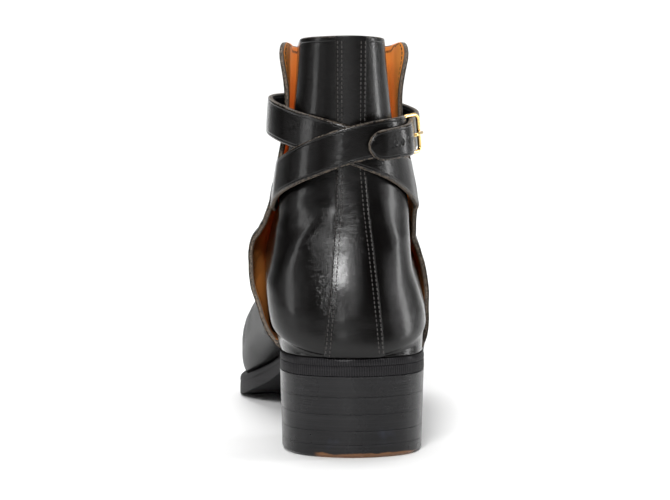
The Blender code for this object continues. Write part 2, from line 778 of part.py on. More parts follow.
def buckle_frame():
    along, up, out = buckle_axes()
    middle = (HINGE_BAR + FAR_BAR) / 2
    straight_long = np.linalg.norm(FAR_BAR - HINGE_BAR) / 2 - BUCKLE_CORNER
    straight_high = (BUCKLE_HEIGHT - BAR) / 2 - BUCKLE_CORNER
    points = []
    for quarter, (side_long, side_high) in enumerate(((1, 1), (-1, 1), (-1, -1), (1, -1))):
        for i in range(4):
            turn = (quarter + i / 3) * pi / 2
            reach_long = side_long * straight_long + BUCKLE_CORNER * cos(turn)
            reach_high = side_high * straight_high + BUCKLE_CORNER * sin(turn)
            points.append(middle + along * reach_long + up * reach_high)
    return tube("buckle_frame", points, BAR / 2, out, closed=True)


def prong_path():
    """From beside the hinge bar, out through the strap's hole, and on to the far bar."""
    along, up, out = buckle_axes()
    clear = BAR / 2 + GAP + PRONG / 2
    foot = HINGE_BAR + along * clear
    tip = FAR_BAR + out * clear
    across = np.array([tip[1] - foot[1], foot[0] - tip[0], 0.0])
    across = across / np.linalg.norm(across)
    knee = foot + across * PRONG_REACH
    return [foot, knee, tip]


def buckle_prong():
    foot, knee, tip = prong_path()
    up = buckle_axes()[1]
    bend = [foot, foot + (knee - foot) * 0.75, knee + (tip - knee) * 0.12, tip]
    return tube("buckle_prong", bend, PRONG / 2, up)


def punch_prong_hole(strap):
    """Hole in the long strap where the prong passes through."""
    foot, knee, tip = prong_path()
    through = (knee - foot) / np.linalg.norm(knee - foot)
    ends = [foot - through * 1.5, knee + through * 1.5]
    punch = tube("prong_hole", ends, PRONG_HOLE / 2, buckle_axes()[1], sides=8)
    punch.hide_render = True
    punch.display_type = "WIRE"
    cut = strap.modifiers.new("prong_hole", "BOOLEAN")
    cut.operation = "DIFFERENCE"
    cut.solver = "EXACT"
    cut.object = punch
    return punch


def clear_scene():
    for item in list(bpy.data.objects):
        bpy.data.objects.remove(item, do_unlink=True)


def centre_on_footprint(parts, guides):
    """Move the boot so that its bounding box stands centred on the origin."""
    corners = np.array([tuple(v.co) for part in parts for v in part.data.vertices])
    low = corners.min(axis=0)
    high = corners.max(axis=0)
    shift = np.array([-(low[0] + high[0]) / 2, -(low[1] + high[1]) / 2, -low[2]])
    for part in parts + guides:
        for vert in part.data.vertices:
            vert.co = vert.co + type(vert.co)(shift)


def main():
    clear_scene()
    black = material("black_calf", (0.012, 0.011, 0.011), 0.32)
    edge = material("black_edge", (0.02, 0.018, 0.017), 0.42)
    tan = material("tan_lining", (0.55, 0.21, 0.05), 0.5)
    brass = material("brass", (0.83, 0.6, 0.22), 0.25, 1.0)
    upper = [front_panel(), back_panel(), back_strip()]
    straps = [
        band("strap_over", STRAP_OVER, OVER_STEPS, STRAP_THICK, 1),
        band("strap_under", STRAP_UNDER, UNDER_STEPS, STRAP_THICK, -1, TIP_START),
    ]
    soles = sole_parts()
    lifts = heel()
    metal = [buckle_frame(), buckle_prong()]
    punch = punch_prong_hole(straps[1])
    for part in upper + straps:
        part.data.materials.append(black)
    for part in soles[:2] + lifts:
        part.data.materials.append(edge)
    soles[2].data.materials.append(tan)
    for part in metal:
        part.data.materials.append(brass)
    centre_on_footprint(upper + straps + soles + lifts + metal, [punch])


main()
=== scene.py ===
"""Looks of the right jodhpur boot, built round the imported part.

The tables and the section functions are those of the part's source, read here at a finer pitch.
Folds, creases, stitches, raw edges and leather are added. Sizes are in millimetres until a mesh is made.
"""

from collections import namedtuple
from math import acos, cos, pi, sin, sqrt

import bmesh
import bpy
import numpy as np
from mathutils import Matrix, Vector


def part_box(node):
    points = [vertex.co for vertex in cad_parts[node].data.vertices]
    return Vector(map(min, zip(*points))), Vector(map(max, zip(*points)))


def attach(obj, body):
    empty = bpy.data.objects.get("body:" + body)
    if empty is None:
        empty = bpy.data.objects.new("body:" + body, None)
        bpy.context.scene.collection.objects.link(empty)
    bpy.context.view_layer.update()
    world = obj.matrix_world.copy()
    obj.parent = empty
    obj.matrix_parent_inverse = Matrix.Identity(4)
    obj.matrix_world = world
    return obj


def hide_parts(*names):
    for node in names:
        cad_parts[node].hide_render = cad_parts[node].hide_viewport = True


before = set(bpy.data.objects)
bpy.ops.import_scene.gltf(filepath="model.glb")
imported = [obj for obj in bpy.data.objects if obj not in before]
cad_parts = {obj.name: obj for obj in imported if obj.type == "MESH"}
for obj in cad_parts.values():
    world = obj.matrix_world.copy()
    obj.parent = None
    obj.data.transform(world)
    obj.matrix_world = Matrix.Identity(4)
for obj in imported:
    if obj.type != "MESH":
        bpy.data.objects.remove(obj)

MM = 0.001
GAP = 0.3

# Driving sizes of the boot
HEEL_HEIGHT = 42.5
SEAT_THICK = 7.7
WALL = 2.3
WELT_THICK = 3.2
WELT_WIDTH = 14.0
HEEL_INSET = 0.3
STRIP_THICK = 1.2
STRAP_THICK = 2.2
STRAP_WIDTH = 15.4
TIP_WIDTH = 13.0
HEEL_BREAST = 63.0
BREAST_HOLLOW = 3.0
WING_CORNER = 9.5
WING_FLARE_REACH = 22.0
# The wings curl tighter at their top corners: rows over which that fades
CURL_PLACES = 2.5
SEAT_INSET = 1.2
WAIST_INSET = 3.2
BALL_INSET = 5.0
TUCK = WALL + 0.5
FULLNESS = 0.05

# Plan of the outsole: distance from the back of the heel, inner edge and outer edge
Plan = namedtuple("Plan", "y inner outer")
SOLE_PLAN = [
    Plan(0.0, 0.0, 0.0),
    Plan(3.6, -15.5, 15.5),
    Plan(12.5, -26.5, 26.5),
    Plan(29.0, -31.3, 31.3),
    Plan(58.0, -29.8, 31.2),
    Plan(95.0, -26.0, 32.0),
    Plan(130.0, -32.5, 36.8),
    Plan(160.0, -43.2, 40.6),
    Plan(187.0, -48.2, 39.2),
    Plan(212.0, -44.8, 32.5),
    Plan(233.0, -37.4, 22.4),
    Plan(248.5, -29.2, 13.4),
    Plan(258.5, -18.8, 2.8),
    Plan(262.0, -8.0, -8.0),
]

# Side view of the sole: height of its underside and the thickness of outsole and welt together
Side = namedtuple("Side", "y under thick")
SOLE_SIDE = [
    Side(0.0, HEEL_HEIGHT - SEAT_THICK, SEAT_THICK),
    Side(30.0, 34.5, SEAT_THICK),
    Side(62.0, 33.0, SEAT_THICK),
    Side(82.0, 30.6, 7.8),
    Side(100.0, 26.6, 8.0),
    Side(120.0, 20.2, 8.3),
    Side(150.0, 9.4, 8.8),
    Side(172.0, 3.2, 9.2),
    Side(190.0, 0.0, 9.5),
    Side(201.0, 0.0, 9.5),
    Side(212.0, 0.0, 9.5),
    Side(238.0, 2.8, 9.3),
    Side(262.0, 8.0, 9.0),
]

# Sections of the upper. Each lies in a plane through a front point and a back or bottom point.
# front_x and back_x are the section's middle there, front_round and back_round the lengths of its
# rounded ends, inner and outer the front panel's sides, counter_in and counter_out the back panel's,
# wing_in and wing_out how far back the wings reach, flare_in and flare_out how far their edges stand off.
# A section with no back_z stands open on the sole.
Section = namedtuple(
    "Section",
    "name front_y front_z back_y back_z front_x back_x front_round back_round "
    "inner outer counter_in counter_out wing_in wing_out flare_in flare_out",
)
SECTIONS = [
    Section("top", 101, 172.4, 8.5, 178, -3, -1.8, 38, 21, -27.4, 22.2, -22.6, 13.7, 46, 46, 5.2, 5.0),
    Section("shaft", 101, 150, 10, 158, -3, -1.8, 38, 22, -28.2, 22.4, -23.8, 15.6, 46, 46, 0.8, 0.6),
    Section("strap", 102, 134, 11, 140, -3, -1.6, 38, 23, -29.4, 23.2, -25.8, 17.8, 44, 44, 0.2, 0.2),
    Section("gaiter", 104, 122, 11.5, 122, -3, -1.4, 38, 24, -31.8, 26.2, -28.6, 21.2, 42, 42, 0.6, 0.6),
    Section("ankle", 106.5, 114.5, 10.5, 104, -3, -1.2, 38, 26, -34.2, 28.6, -31.2, 24.4, 42.2, 42.2, 1.0, 0.8),
    Section("instep", 109, 109.5, 6.5, 86, -3, -1, 40, 28, -36, 28.8, -32.9, 24.8, 51, 51, 3.0, 0.6),
    Section("counter", 112, 104.5, 2, 70, -3, -0.8, 42, 31, -38, 29.6, -34.8, 25.6, 59, 59, 5.6, 0.8),
    Section("bulge", 115.5, 99.5, 0, 56, -3, -0.6, 45, 33, -39.6, 32.2, -36.6, 28.8, 60, 60, 5.2, 1.4),
    Section("seat", 120, 94, SEAT_INSET, 42.8, -3, 0, 48, 34, -39.0, 34.8, -35.2, 31.8, 56, 56, 4.6, 0.6),
    Section("heel", 125, 89.5, 16, None, -3, 0, 50, 33, -38.2, 34.8, -33.6, 31.8, 48, 48, 2.0, 0.0),
    Section("breast", 132, 84.5, 39, None, -3, 0, 50, 24, -37.6, 35.0, -33.2, 31.8, 39, 39, 0, 0),
    Section("arch", 141, 79, 66, None, -2.5, 0, 46, 17, -37.4, 36.4, -33.4, 33.2, 66, 66, 0, 0),
    Section("waist", 153, 73.5, 96, None, -2, 0, 42, 15, -38.4, 38.4, -34.2, 35, 96, 96, 0, 0),
    Section("shank", 167, 67.5, 126, None, -2, 0, 37, 14, -42, 40.2, -37.6, 36.8, 126, 126, 0, 0),
    Section("joint", 183, 60.5, 155, None, -2.5, -1, 33, 12, -45.6, 41, 0, 0, 155, 155, 0, 0),
    Section("ball", 200, 53.5, 182, None, -3.5, -3, 29, 11, -47, 38.6, 0, 0, 182, 182, 0, 0),
    Section("toes", 218, 46.5, 206, None, -5, -5, 24, 9, -43.6, 32, 0, 0, 206, 206, 0, 0),
    Section("cap", 233.5, 40.2, 224, None, -6.5, -6, 18, 7, -36, 22, 0, 0, 224, 224, 0, 0),
    Section("toe_top", 246, 34.6, 231, None, -7.5, -7, 15.5, 5.5, -31.4, 16.6, 0, 0, 233, 233, 0, 0),
    Section("toe_front", 255.0, 26.6, 236, None, -8, -7, 18.0, 3.6, -30.6, 15.2, 0, 0, 236, 236, 0, 0),
    Section("toe_edge", 257, 16.8, 241, None, -8, -7, 15.4, 1.4, -28.6, 12.9, 0, 0, 241, 241, 0, 0),
]
SECTION_AT = {row.name: index for index, row in enumerate(SECTIONS)}

# Back strip: half-width on each side and its middle, by section
Strip = namedtuple("Strip", "section middle half")
BACK_STRIP = [
    Strip("top", -1.6, 6.3),
    Strip("gaiter", -1.5, 6.2),
    Strip("ankle", -1.0, 7.2),
    Strip("instep", -0.7, 8.8),
    Strip("counter", -0.6, 10.2),
    Strip("bulge", -0.6, 11.6),
    Strip("seat", -0.5, 12.8),
]

# Middle lines of the straps: x, y and z of each station, how far the band is cut off square
# there and how far its foot leans out, both in degrees, and its width. Both leave a wing.
Stop = namedtuple("Stop", "x y z skew lean width")
STRAP_OVER = [
    Stop(-32.9, 41.0, 113.8, 28, 7, 21.0),
    Stop(-31.4, 29.6, 117.6, 12, 7, 16.6),
    Stop(-25.6, 16.6, 122.4, 0, 5, STRAP_WIDTH),
    Stop(-15.2, 7.6, 127.6, 0, 2, STRAP_WIDTH),
    Stop(-3.0, 4.8, 132.0, 0, 0, STRAP_WIDTH),
    Stop(10.8, 7.1, 135.0, 0, 1, STRAP_WIDTH),
    Stop(18.8, 13.8, 136.0, 0, 4, STRAP_WIDTH),
    Stop(21.9, 23.0, 136.2, 0, 5, STRAP_WIDTH),
    Stop(22.3, 30.6, 136.2, 0, 5, STRAP_WIDTH),
]
STRAP_UNDER = [
    Stop(27.0, 41.0, 114.2, 26, 9, 21.0),
    Stop(23.3, 30.0, 118.4, 10, 9, 16.2),
    Stop(16.4, 17.8, 124.0, 0, 6, STRAP_WIDTH),
    Stop(7.8, 10.0, 128.4, 0, 2, STRAP_WIDTH),
    Stop(-2.6, 7.7, 132.2, 0, 0, STRAP_WIDTH),
    Stop(-14.2, 11.3, 135.6, 0, 2, STRAP_WIDTH),
    Stop(-24.6, 20.8, 138.4, 0, 4, STRAP_WIDTH),
    Stop(-32.2, 33.0, 141.4, 0, 4, STRAP_WIDTH),
    Stop(-35.0, 48.0, 143.2, 0, 4, STRAP_WIDTH),
    Stop(-34.2, 66.0, 144.2, 0, 3, STRAP_WIDTH),
    Stop(-28.8, 85.0, 144.6, 0, 2, STRAP_WIDTH),
    Stop(-17.0, 101.0, 144.6, 0, 0, STRAP_WIDTH),
    Stop(-3.0, 104.6, 144.2, 0, 0, 15.2),
    Stop(11.0, 101.6, 143.0, 0, 0, 15.0),
    Stop(22.8, 87.4, 141.0, 0, 2, 14.6),
    Stop(29.0, 69.0, 139.0, 0, 3, 14.2),
    Stop(30.0, 55.0, 137.6, 0, 3, 14.0),
    Stop(26.8, 41.0, 136.3, 0, 4, 13.9),
    Stop(25.8, 31.3, 135.2, 0, 5, 13.6),
    Stop(22.8, 14.0, 134.0, 0, 5, 13.4),
    Stop(13.5, 5.0, 132.4, 0, 1, TIP_WIDTH),
    Stop(5.8, 1.8, 131.6, 0, 0, TIP_WIDTH),
]
TIP_START = 20.1

# Lifts of the heel from the sole down: their lower faces
LIFT_FLOORS = [26.0, 18.6, 11.6, 5.6]
HEEL_TAPER = 1.0
WORN_EDGE = 1.2

# Buckle: the middles of its hinge bar, inside the strap, and of its far bar, outside it,
# the frame's height and the diameters of its bars and prong
HINGE_BAR = np.array([22.6, 33.7, 135.0])
FAR_BAR = np.array([29.4, 40.8, 136.2])
BUCKLE_HEIGHT = 17.8
BUCKLE_CORNER = 2.4
BAR = 1.6
PRONG = 1.4
PRONG_REACH = 5.6


def cubic(values, place):
    """Smooth curve through equally spaced values; the ends run on straight."""
    last = len(values) - 1
    place = min(max(place, 0.0), float(last))
    left = min(int(place), last - 1)
    step = place - left
    p1 = values[left]
    p2 = values[left + 1]
    p0 = values[left - 1] if left > 0 else 2 * p1 - p2
    p3 = values[left + 2] if left + 2 <= last else 2 * p2 - p1
    slope1 = (p2 - p0) / 2
    slope2 = (p3 - p1) / 2
    a = 2 * step**3 - 3 * step**2 + 1
    b = step**3 - 2 * step**2 + step
    c = -2 * step**3 + 3 * step**2
    d = step**3 - step**2
    return a * p1 + b * slope1 + c * p2 + d * slope2


def smooth(value):
    value = min(max(value, 0.0), 1.0)
    return value * value * (3 - 2 * value)


KNOWN = {}


def blend(rows, key, name, at):
    """Value of one column of a table whose rows are not equally spaced."""
    if (name, len(rows)) not in KNOWN:
        KNOWN[name, len(rows)] = ([getattr(row, key) for row in rows], [getattr(row, name) for row in rows])
    keys, values = KNOWN[name, len(rows)]
    if at <= keys[0]:
        return values[0]
    if at >= keys[-1]:
        return values[-1]
    i = max(index for index in range(len(keys) - 1) if keys[index] <= at)
    step = (at - keys[i]) / (keys[i + 1] - keys[i])

    def slope(j):
        if j == 0 or j == len(keys) - 1:
            k = min(j, len(keys) - 2)
            return (values[k + 1] - values[k]) / (keys[k + 1] - keys[k])
        return (values[j + 1] - values[j - 1]) / (keys[j + 1] - keys[j - 1])

    span = keys[i + 1] - keys[i]
    a = 2 * step**3 - 3 * step**2 + 1
    b = step**3 - 2 * step**2 + step
    c = -2 * step**3 + 3 * step**2
    d = step**3 - step**2
    return a * values[i] + b * span * slope(i) + c * values[i + 1] + d * span * slope(i + 1)


def sole_under(y):
    return max(blend(SOLE_SIDE, "y", "under", y), 0.0)


def sole_top(y):
    return sole_under(y) + blend(SOLE_SIDE, "y", "thick", y)


def plan_point(place, side):
    """Point on the outsole's edge; place counts rows of the plan, side is inner or outer."""
    y_values = [row.y for row in SOLE_PLAN]
    x_values = [getattr(row, side) for row in SOLE_PLAN]
    y_values = [y_values[1]] + y_values + [y_values[-2]]
    x_values = [2 * x_values[0] - x_values[1]] + x_values + [2 * x_values[-1] - x_values[-2]]
    return np.array([cubic(x_values, place + 1), cubic(y_values, place + 1)])


def plan_edge(place, side, inset):
    """Point inside the outsole's edge by the inset, measured square to the edge."""
    step = 0.01
    here = plan_point(place, side)
    along = plan_point(min(place + step, len(SOLE_PLAN) - 1), side) - plan_point(max(place - step, 0), side)
    if place <= 0:
        along = np.array([-1.0 if side == "inner" else 1.0, 0.0])
    if place >= len(SOLE_PLAN) - 1:
        along = np.array([1.0 if side == "inner" else -1.0, 0.0])
    along = along / np.linalg.norm(along)
    inward = np.array([along[1], -along[0]]) if side == "inner" else np.array([-along[1], along[0]])
    return here + inward * inset


def front_inset(y):
    waist = GAP + (WAIST_INSET - GAP) * smooth((y - 50) / 45)
    return waist + (BALL_INSET - WAIST_INSET) * smooth((y - 110) / 50)


def tuck(y):
    """How far the back panel's lower edge is tucked in and up where the front panel covers it."""
    return TUCK * smooth((y - 33) / 7)


def back_inset(y):
    return SEAT_INSET + (WAIST_INSET - SEAT_INSET) * smooth((y - 34) / 9) + 0.8 * smooth((y - 60) / 30)


PLAN_STEPS = 14


def feather(side, inset_of):
    """Where an upper panel meets the sole, as x over y."""
    places = np.linspace(0, len(SOLE_PLAN) - 1, PLAN_STEPS * (len(SOLE_PLAN) - 1) + 1)
    points = [plan_edge(p, side, inset_of(plan_point(p, side)[1])) for p in places]
    return np.array(points)


FEATHER = {
    "front": {side: feather(side, front_inset) for side in ("inner", "outer")},
    "back": {side: feather(side, back_inset) for side in ("inner", "outer")},
}


def feather_x(panel, side, y):
    line = FEATHER[panel][side]
    return float(np.interp(y, line[:, 1], line[:, 0]))


COLUMNS = {name: [getattr(row, name) for row in SECTIONS] for name in Section._fields}


def column(name, place):
    return cubic(COLUMNS[name], place)


BACK_Z = [row.back_z if row.back_z is not None else sole_top(row.back_y) + GAP for row in SECTIONS]
SEAT = SECTION_AT["seat"]
PANEL_SIDES = {
    "front": {"inner": "inner", "outer": "outer"},
    "back": {"inner": "counter_in", "outer": "counter_out"},
}
THIRD = 1 / 3


def section(place, panel="front"):
    """Front and back points of a panel's section plane at a place along the upper."""
    front = np.array([column("front_y", place), column("front_z", place)])
    back_y = column("back_y", place)
    back_z = cubic(BACK_Z, place)
    if place > SEAT:
        back_z = sole_top(back_y) + GAP
        if panel == "back":
            back_z += tuck(back_y)
    return front, np.array([back_y, back_z])


def round_limits(place):
    front, back = section(place)
    length = float(np.linalg.norm(back - front))
    start = column("front_round", place) / length
    end = 1 - max(column("back_round", place), 0.1) / length
    return start, max(end, start + 0.001)


def skin(panel, place, around):
    """Outer face of a panel. around runs from 0 at the front to 1 at the back or the sole,
    positive on the outer side of the foot and negative on the inner side."""
    side = "outer" if around >= 0 else "inner"
    part = abs(around)
    front, back = section(place, panel)
    start, end = round_limits(place)
    wide = column(PANEL_SIDES[panel][side], place)
    front_x = column("front_x", place)
    low_x = column("back_x", place)
    if place > SEAT:
        low_x = feather_x(panel, side, back[0])
    if part <= THIRD:
        angle = part / THIRD * pi / 2
        full = 1 + FULLNESS * sin(2 * angle) ** 2
        x = front_x + (wide - front_x) * sin(angle) * full
        along = start * (1 - cos(angle) * full)
    elif part <= 2 * THIRD:
        x = wide
        along = start + (end - start) * (part - THIRD) / THIRD
    else:
        centre = low_x
        if place > SEAT:
            centre = low_x * smooth((place - SEAT - 1) / 3)
        last = acos((low_x - centre) / (wide - centre))
        angle = (part - 2 * THIRD) / THIRD * last
        x = centre + (wide - centre) * cos(angle)
        along = end + (1 - end) * sin(angle) / sin(last)
    y, z = front + (back - front) * along
    if panel == "front" and place < SECTION_AT["breast"]:
        flare = column("flare_out" if side == "outer" else "flare_in", place)
        edge = column("wing_out" if side == "outer" else "wing_in", place)
        nearness = min(max(1 - (y - edge) / WING_FLARE_REACH, 0.0), 1.0)
        tight = nearness * nearness
        curl = tight + (smooth(nearness) - tight) * smooth(place / CURL_PLACES)
        x += (1 if side == "outer" else -1) * max(flare, 0) * curl
    return np.array([x, y, z])


def wing_edge(place, side):
    """How far back the wing reaches; the top corner is rounded."""
    edge = column("wing_out" if side == "outer" else "wing_in", place)
    drop = place * (SECTIONS[0].back_z - SECTIONS[1].back_z)
    if drop < WING_CORNER:
        rise = 1 - drop / WING_CORNER
        edge += WING_CORNER * (1 - sqrt(max(1 - rise * rise, 0)))
    return edge


def wing_limit(place, side):
    """The wing's edge as a place around the section."""
    if place >= SECTION_AT["breast"]:
        return 1.0
    front, back = section(place)
    start, end = round_limits(place)
    along = (front[0] - wing_edge(place, side)) / (front[0] - back[0])
    if along <= start:
        return acos(1 - along / start) / (pi / 2) * THIRD
    if along <= end:
        return THIRD + (along - start) / (end - start) * THIRD
    reach = min((along - end) / (1 - end), 1.0)
    return 2 * THIRD + (pi / 2 - acos(reach)) / (pi / 2) * THIRD


def spread(part, limit):
    """Columns keep their place near the front, and only the outer ones follow the wing's edge."""
    held = 0.8 * THIRD
    share = 0.55
    if part <= share:
        return held * part / share
    return held + (limit - held) * (part - share) / (1 - share)


def on_back(place, x):
    """Point of the back panel's outer face at a distance from the middle plane."""
    low_x = column("back_x", place)
    side = "outer" if x >= low_x else "inner"
    wide = column(PANEL_SIDES["back"][side], place)
    angle = acos(min((x - low_x) / (wide - low_x), 1.0))
    around = 2 * THIRD + angle / (pi / 2) * THIRD
    return skin("back", place, around if side == "outer" else -around)


def tip_round(place, start, end):
    """Share of the strap's width left near its rounded tip."""
    reach = (place - start) / (end - start)
    if reach <= 0:
        return 1.0
    return sqrt(max(1 - reach * reach, 0.06))


def buckle_axes():
    """Directions along, up and out of the buckle's frame."""
    along = (FAR_BAR - HINGE_BAR) / np.linalg.norm(FAR_BAR - HINGE_BAR)
    up = np.array([0.0, 0.0, 1.0])
    up = up - along * up.dot(along)
    up = up / np.linalg.norm(up)
    return along, up, np.cross(along, up)


def prong_path():
    """From beside the hinge bar, out through the strap's hole, and on to the far bar."""
    along, up, out = buckle_axes()
    clear = BAR / 2 + GAP + PRONG / 2
    foot = HINGE_BAR + along * clear
    tip = FAR_BAR + out * clear
    across = np.array([tip[1] - foot[1], foot[0] - tip[0], 0.0])
    across = across / np.linalg.norm(across)
    knee = foot + across * PRONG_REACH
    return [foot, knee, tip]


def pull(edge, radius, depth):
    """How far a face curls in near a free edge."""
    if edge >= radius:
        return 0.0
    rise = 1 - edge / radius
    return depth * (1 - sqrt(max(1 - rise * rise, 0.0)))


def make_object(name, mesh, mats):
    piece = bpy.data.objects.new(name, mesh)
    bpy.context.scene.collection.objects.link(piece)
    for stuff in mats:
        mesh.materials.append(stuff)
    mesh.shade_smooth()
    return piece


def to_world(point):
    return (Vector(point) + SHIFT) * MM


def build_mesh(name, points, faces, slots, values):
    """Mesh in metres from points in millimetres, with a material slot per face and named values per point."""
    mesh = bpy.data.meshes.new(name)
    mesh.from_pydata([tuple(to_world(point)) for point in points], [], faces)
    for key, numbers in values.items():
        layer = mesh.attributes.new(key, "FLOAT", "POINT")
        layer.data.foreach_set("value", np.array(numbers, dtype=np.float32))
    mesh.polygons.foreach_set("material_index", np.array(slots, dtype=np.int32))
    return mesh


def thick_sheet(name, points, faces, edges, runs, wall, lift, mats, curl=0.9):
    """Thicken an open sheet inward; its free edges are rounded. Slots are outside, lining and raw edge."""
    sheet = bmesh.new()
    edge_layer = sheet.verts.layers.float.new("edge")
    run_layer = sheet.verts.layers.float.new("run")
    verts = []
    for point, edge, run in zip(points, edges, runs):
        vert = sheet.verts.new(point)
        vert[edge_layer] = edge
        vert[run_layer] = run
        verts.append(vert)
    for face in faces:
        sheet.faces.new([verts[i] for i in face])
    bmesh.ops.remove_doubles(sheet, verts=sheet.verts, dist=0.004)
    sheet.normal_update()
    sheet.verts.index_update()
    outer = []
    inner = []
    edge_values = []
    run_values = []
    for vert in sheet.verts:
        edge = vert[edge_layer]
        curled = pull(edge, curl, wall * 0.3)
        outer.append(hold_above(vert.co + vert.normal * (lift - curled)))
        inner.append(hold_above(vert.co + vert.normal * (lift - wall + curled)))
        edge_values.append(edge)
        run_values.append(vert[run_layer])
    count = len(outer)
    loops = [[vert.index for vert in face.verts] for face in sheet.faces]
    rims = []
    for edge in sheet.edges:
        if len(edge.link_faces) == 1:
            loop = edge.link_loops[0]
            rims.append((loop.vert.index, loop.link_loop_next.vert.index))
    sheet.free()
    solid_faces = loops + [[index + count for index in reversed(loop)] for loop in loops]
    solid_faces += [[b, a, a + count, b + count] for a, b in rims]
    slots = [0] * len(loops) + [1] * len(loops) + [2] * len(rims)
    values = {"edge_mm": edge_values * 2, "run_mm": run_values * 2}
    return make_object(name, build_mesh(name, outer + inner, solid_faces, slots, values), mats)


def hold_above(co):
    co.z = max(co.z, sole_top(co.y) + GAP)
    return co


def ring_faces(levels, ring, base=0, closed=False):
    """Quads between rings of points; an open stack is capped at both ends."""
    faces = []
    for level in range(levels if closed else levels - 1):
        here = base + level * ring
        after = base + (level + 1) % levels * ring
        for j in range(ring):
            k = (j + 1) % ring
            faces.append([here + j, here + k, after + k, after + j])
    if not closed:
        faces.append([base + j for j in range(ring)][::-1])
        faces.append([base + (levels - 1) * ring + j for j in range(ring)])
    return faces


def even_normals(mesh):
    """Turn all faces outward and cut up the many-sided ones."""
    tidy = bmesh.new()
    tidy.from_mesh(mesh)
    bmesh.ops.triangulate(tidy, faces=[face for face in tidy.faces if len(face.verts) > 4])
    bmesh.ops.recalc_face_normals(tidy, faces=tidy.faces)
    tidy.to_mesh(mesh)
    tidy.free()


def line_runs(points):
    """Distance of each point of a line from the first, along the line."""
    gaps = np.linalg.norm(np.diff(np.array(points), axis=0), axis=1)
    return [0.0] + np.cumsum(gaps).tolist()


def grid_faces(rows, columns, base=0, flip=False):
    faces = []
    for i in range(rows - 1):
        for j in range(columns - 1):
            a = base + i * columns + j
            face = [a, a + 1, a + columns + 1, a + columns]
            faces.append(face[::-1] if flip else face)
    return faces


def edge_distances(grid, free_left, free_right, free_top):
    """Distance of each grid point from its nearest free edge, and how far along that edge it is."""
    across = np.linalg.norm(np.diff(grid, axis=1), axis=2)
    down = np.linalg.norm(np.diff(grid, axis=0), axis=2)
    from_left = np.concatenate([np.zeros((grid.shape[0], 1)), np.cumsum(across, axis=1)], axis=1)
    from_right = from_left[:, -1:] - from_left
    from_top = np.concatenate([np.zeros((1, grid.shape[1])), np.cumsum(down, axis=0)], axis=0)
    far = 99.0
    left = from_left + np.where(free_left, 0.0, far)[:, None]
    right = from_right + np.where(free_right, 0.0, far)[:, None]
    top = from_top + (0.0 if free_top else far)
    nearest = np.minimum(np.minimum(left, right), top)
    along_side = np.where(left < right, from_top[:, :1], from_top[:, -1:])
    run = np.where(top <= np.minimum(left, right), from_left, along_side)
    return nearest, run


# Ridges and troughs in the back panel, seen from behind: from one point to another, width, height
Fold = namedtuple("Fold", "x0 z0 x1 z1 width height")
BACK_FOLDS = [
    Fold(-11.5, 101.0, -22.0, 90.0, 5.0, 0.75),
    Fold(-22.0, 90.0, -34.0, 73.0, 5.5, 0.85),
    Fold(12.0, 104.0, 18.0, 91.5, 4.2, 0.6),
    Fold(18.0, 91.5, 29.0, 62.0, 5.6, 0.7),
    Fold(-14.0, 108.0, -31.0, 100.0, 3.4, -0.45),
    Fold(-19.0, 99.5, -31.0, 92.5, 1.5, -0.22),
    Fold(-21.0, 96.5, -30.0, 89.0, 1.2, -0.18),
    Fold(-17.0, 103.0, -28.0, 97.5, 1.2, -0.15),
    Fold(13.0, 97.0, 22.0, 101.0, 1.8, -0.2),
    Fold(14.0, 92.0, 23.0, 97.0, 1.4, -0.16),
    Fold(-7.0, 98.2, 5.0, 97.6, 0.9, -0.1),
    Fold(-6.0, 101.4, 6.0, 101.0, 0.8, -0.09),
    Fold(-6.0, 94.2, 4.0, 95.0, 0.8, -0.06),
    Fold(-6.5, 112.6, 6.0, 112.0, 0.8, -0.12),
    Fold(-6.0, 114.9, 6.0, 115.3, 0.8, -0.12),
    Fold(-5.0, 117.6, 6.0, 117.0, 0.8, -0.1),
]


def fold_height(x, z):
    total = 0.0
    for fold in BACK_FOLDS:
        dx = fold.x1 - fold.x0
        dz = fold.z1 - fold.z0
        along = ((x - fold.x0) * dx + (z - fold.z0) * dz) / (dx * dx + dz * dz)
        held = min(max(along, 0.0), 1.0)
        away = sqrt((x - fold.x0 - held * dx) ** 2 + (z - fold.z0 - held * dz) ** 2)
        total += fold.height * np.exp(-((away / fold.width) ** 2))
    return float(total)


# Creases over instep and vamp: place along the upper, width, depth, lean and reach round the section
Crease = namedtuple("Crease", "place width depth lean reach")
FRONT_CREASES = [
    Crease(3.7, 0.16, 0.7, 0.4, 0.32),
    Crease(4.6, 0.2, 1.0, -0.5, 0.4),
    Crease(5.6, 0.22, 0.9, 0.5, 0.42),
    Crease(6.9, 0.24, 0.6, -0.3, 0.36),
    Crease(13.5, 0.2, 0.4, 0.5, 0.34),
    Crease(14.15, 0.18, 0.55, -0.2, 0.46),
    Crease(14.8, 0.17, 0.5, 0.35, 0.5),
    Crease(15.45, 0.18, 0.35, -0.3, 0.4),
]


def crease_depth(place, around):
    total = 0.0
    for crease in FRONT_CREASES:
        centre = crease.place + crease.lean * around + 0.5 * around * around
        fade = smooth(1.6 - abs(around) / crease.reach)
        total += crease.depth * fade * np.exp(-(((place - centre) / crease.width) ** 2))
    return float(total)


def fine_places(last, step, extra):
    rows = list(np.arange(0, last + 0.001, step)) + extra
    return sorted(set(round(float(p), 4) for p in rows if p <= last))


NEAR_TOP = [0.012, 0.03, 0.06]


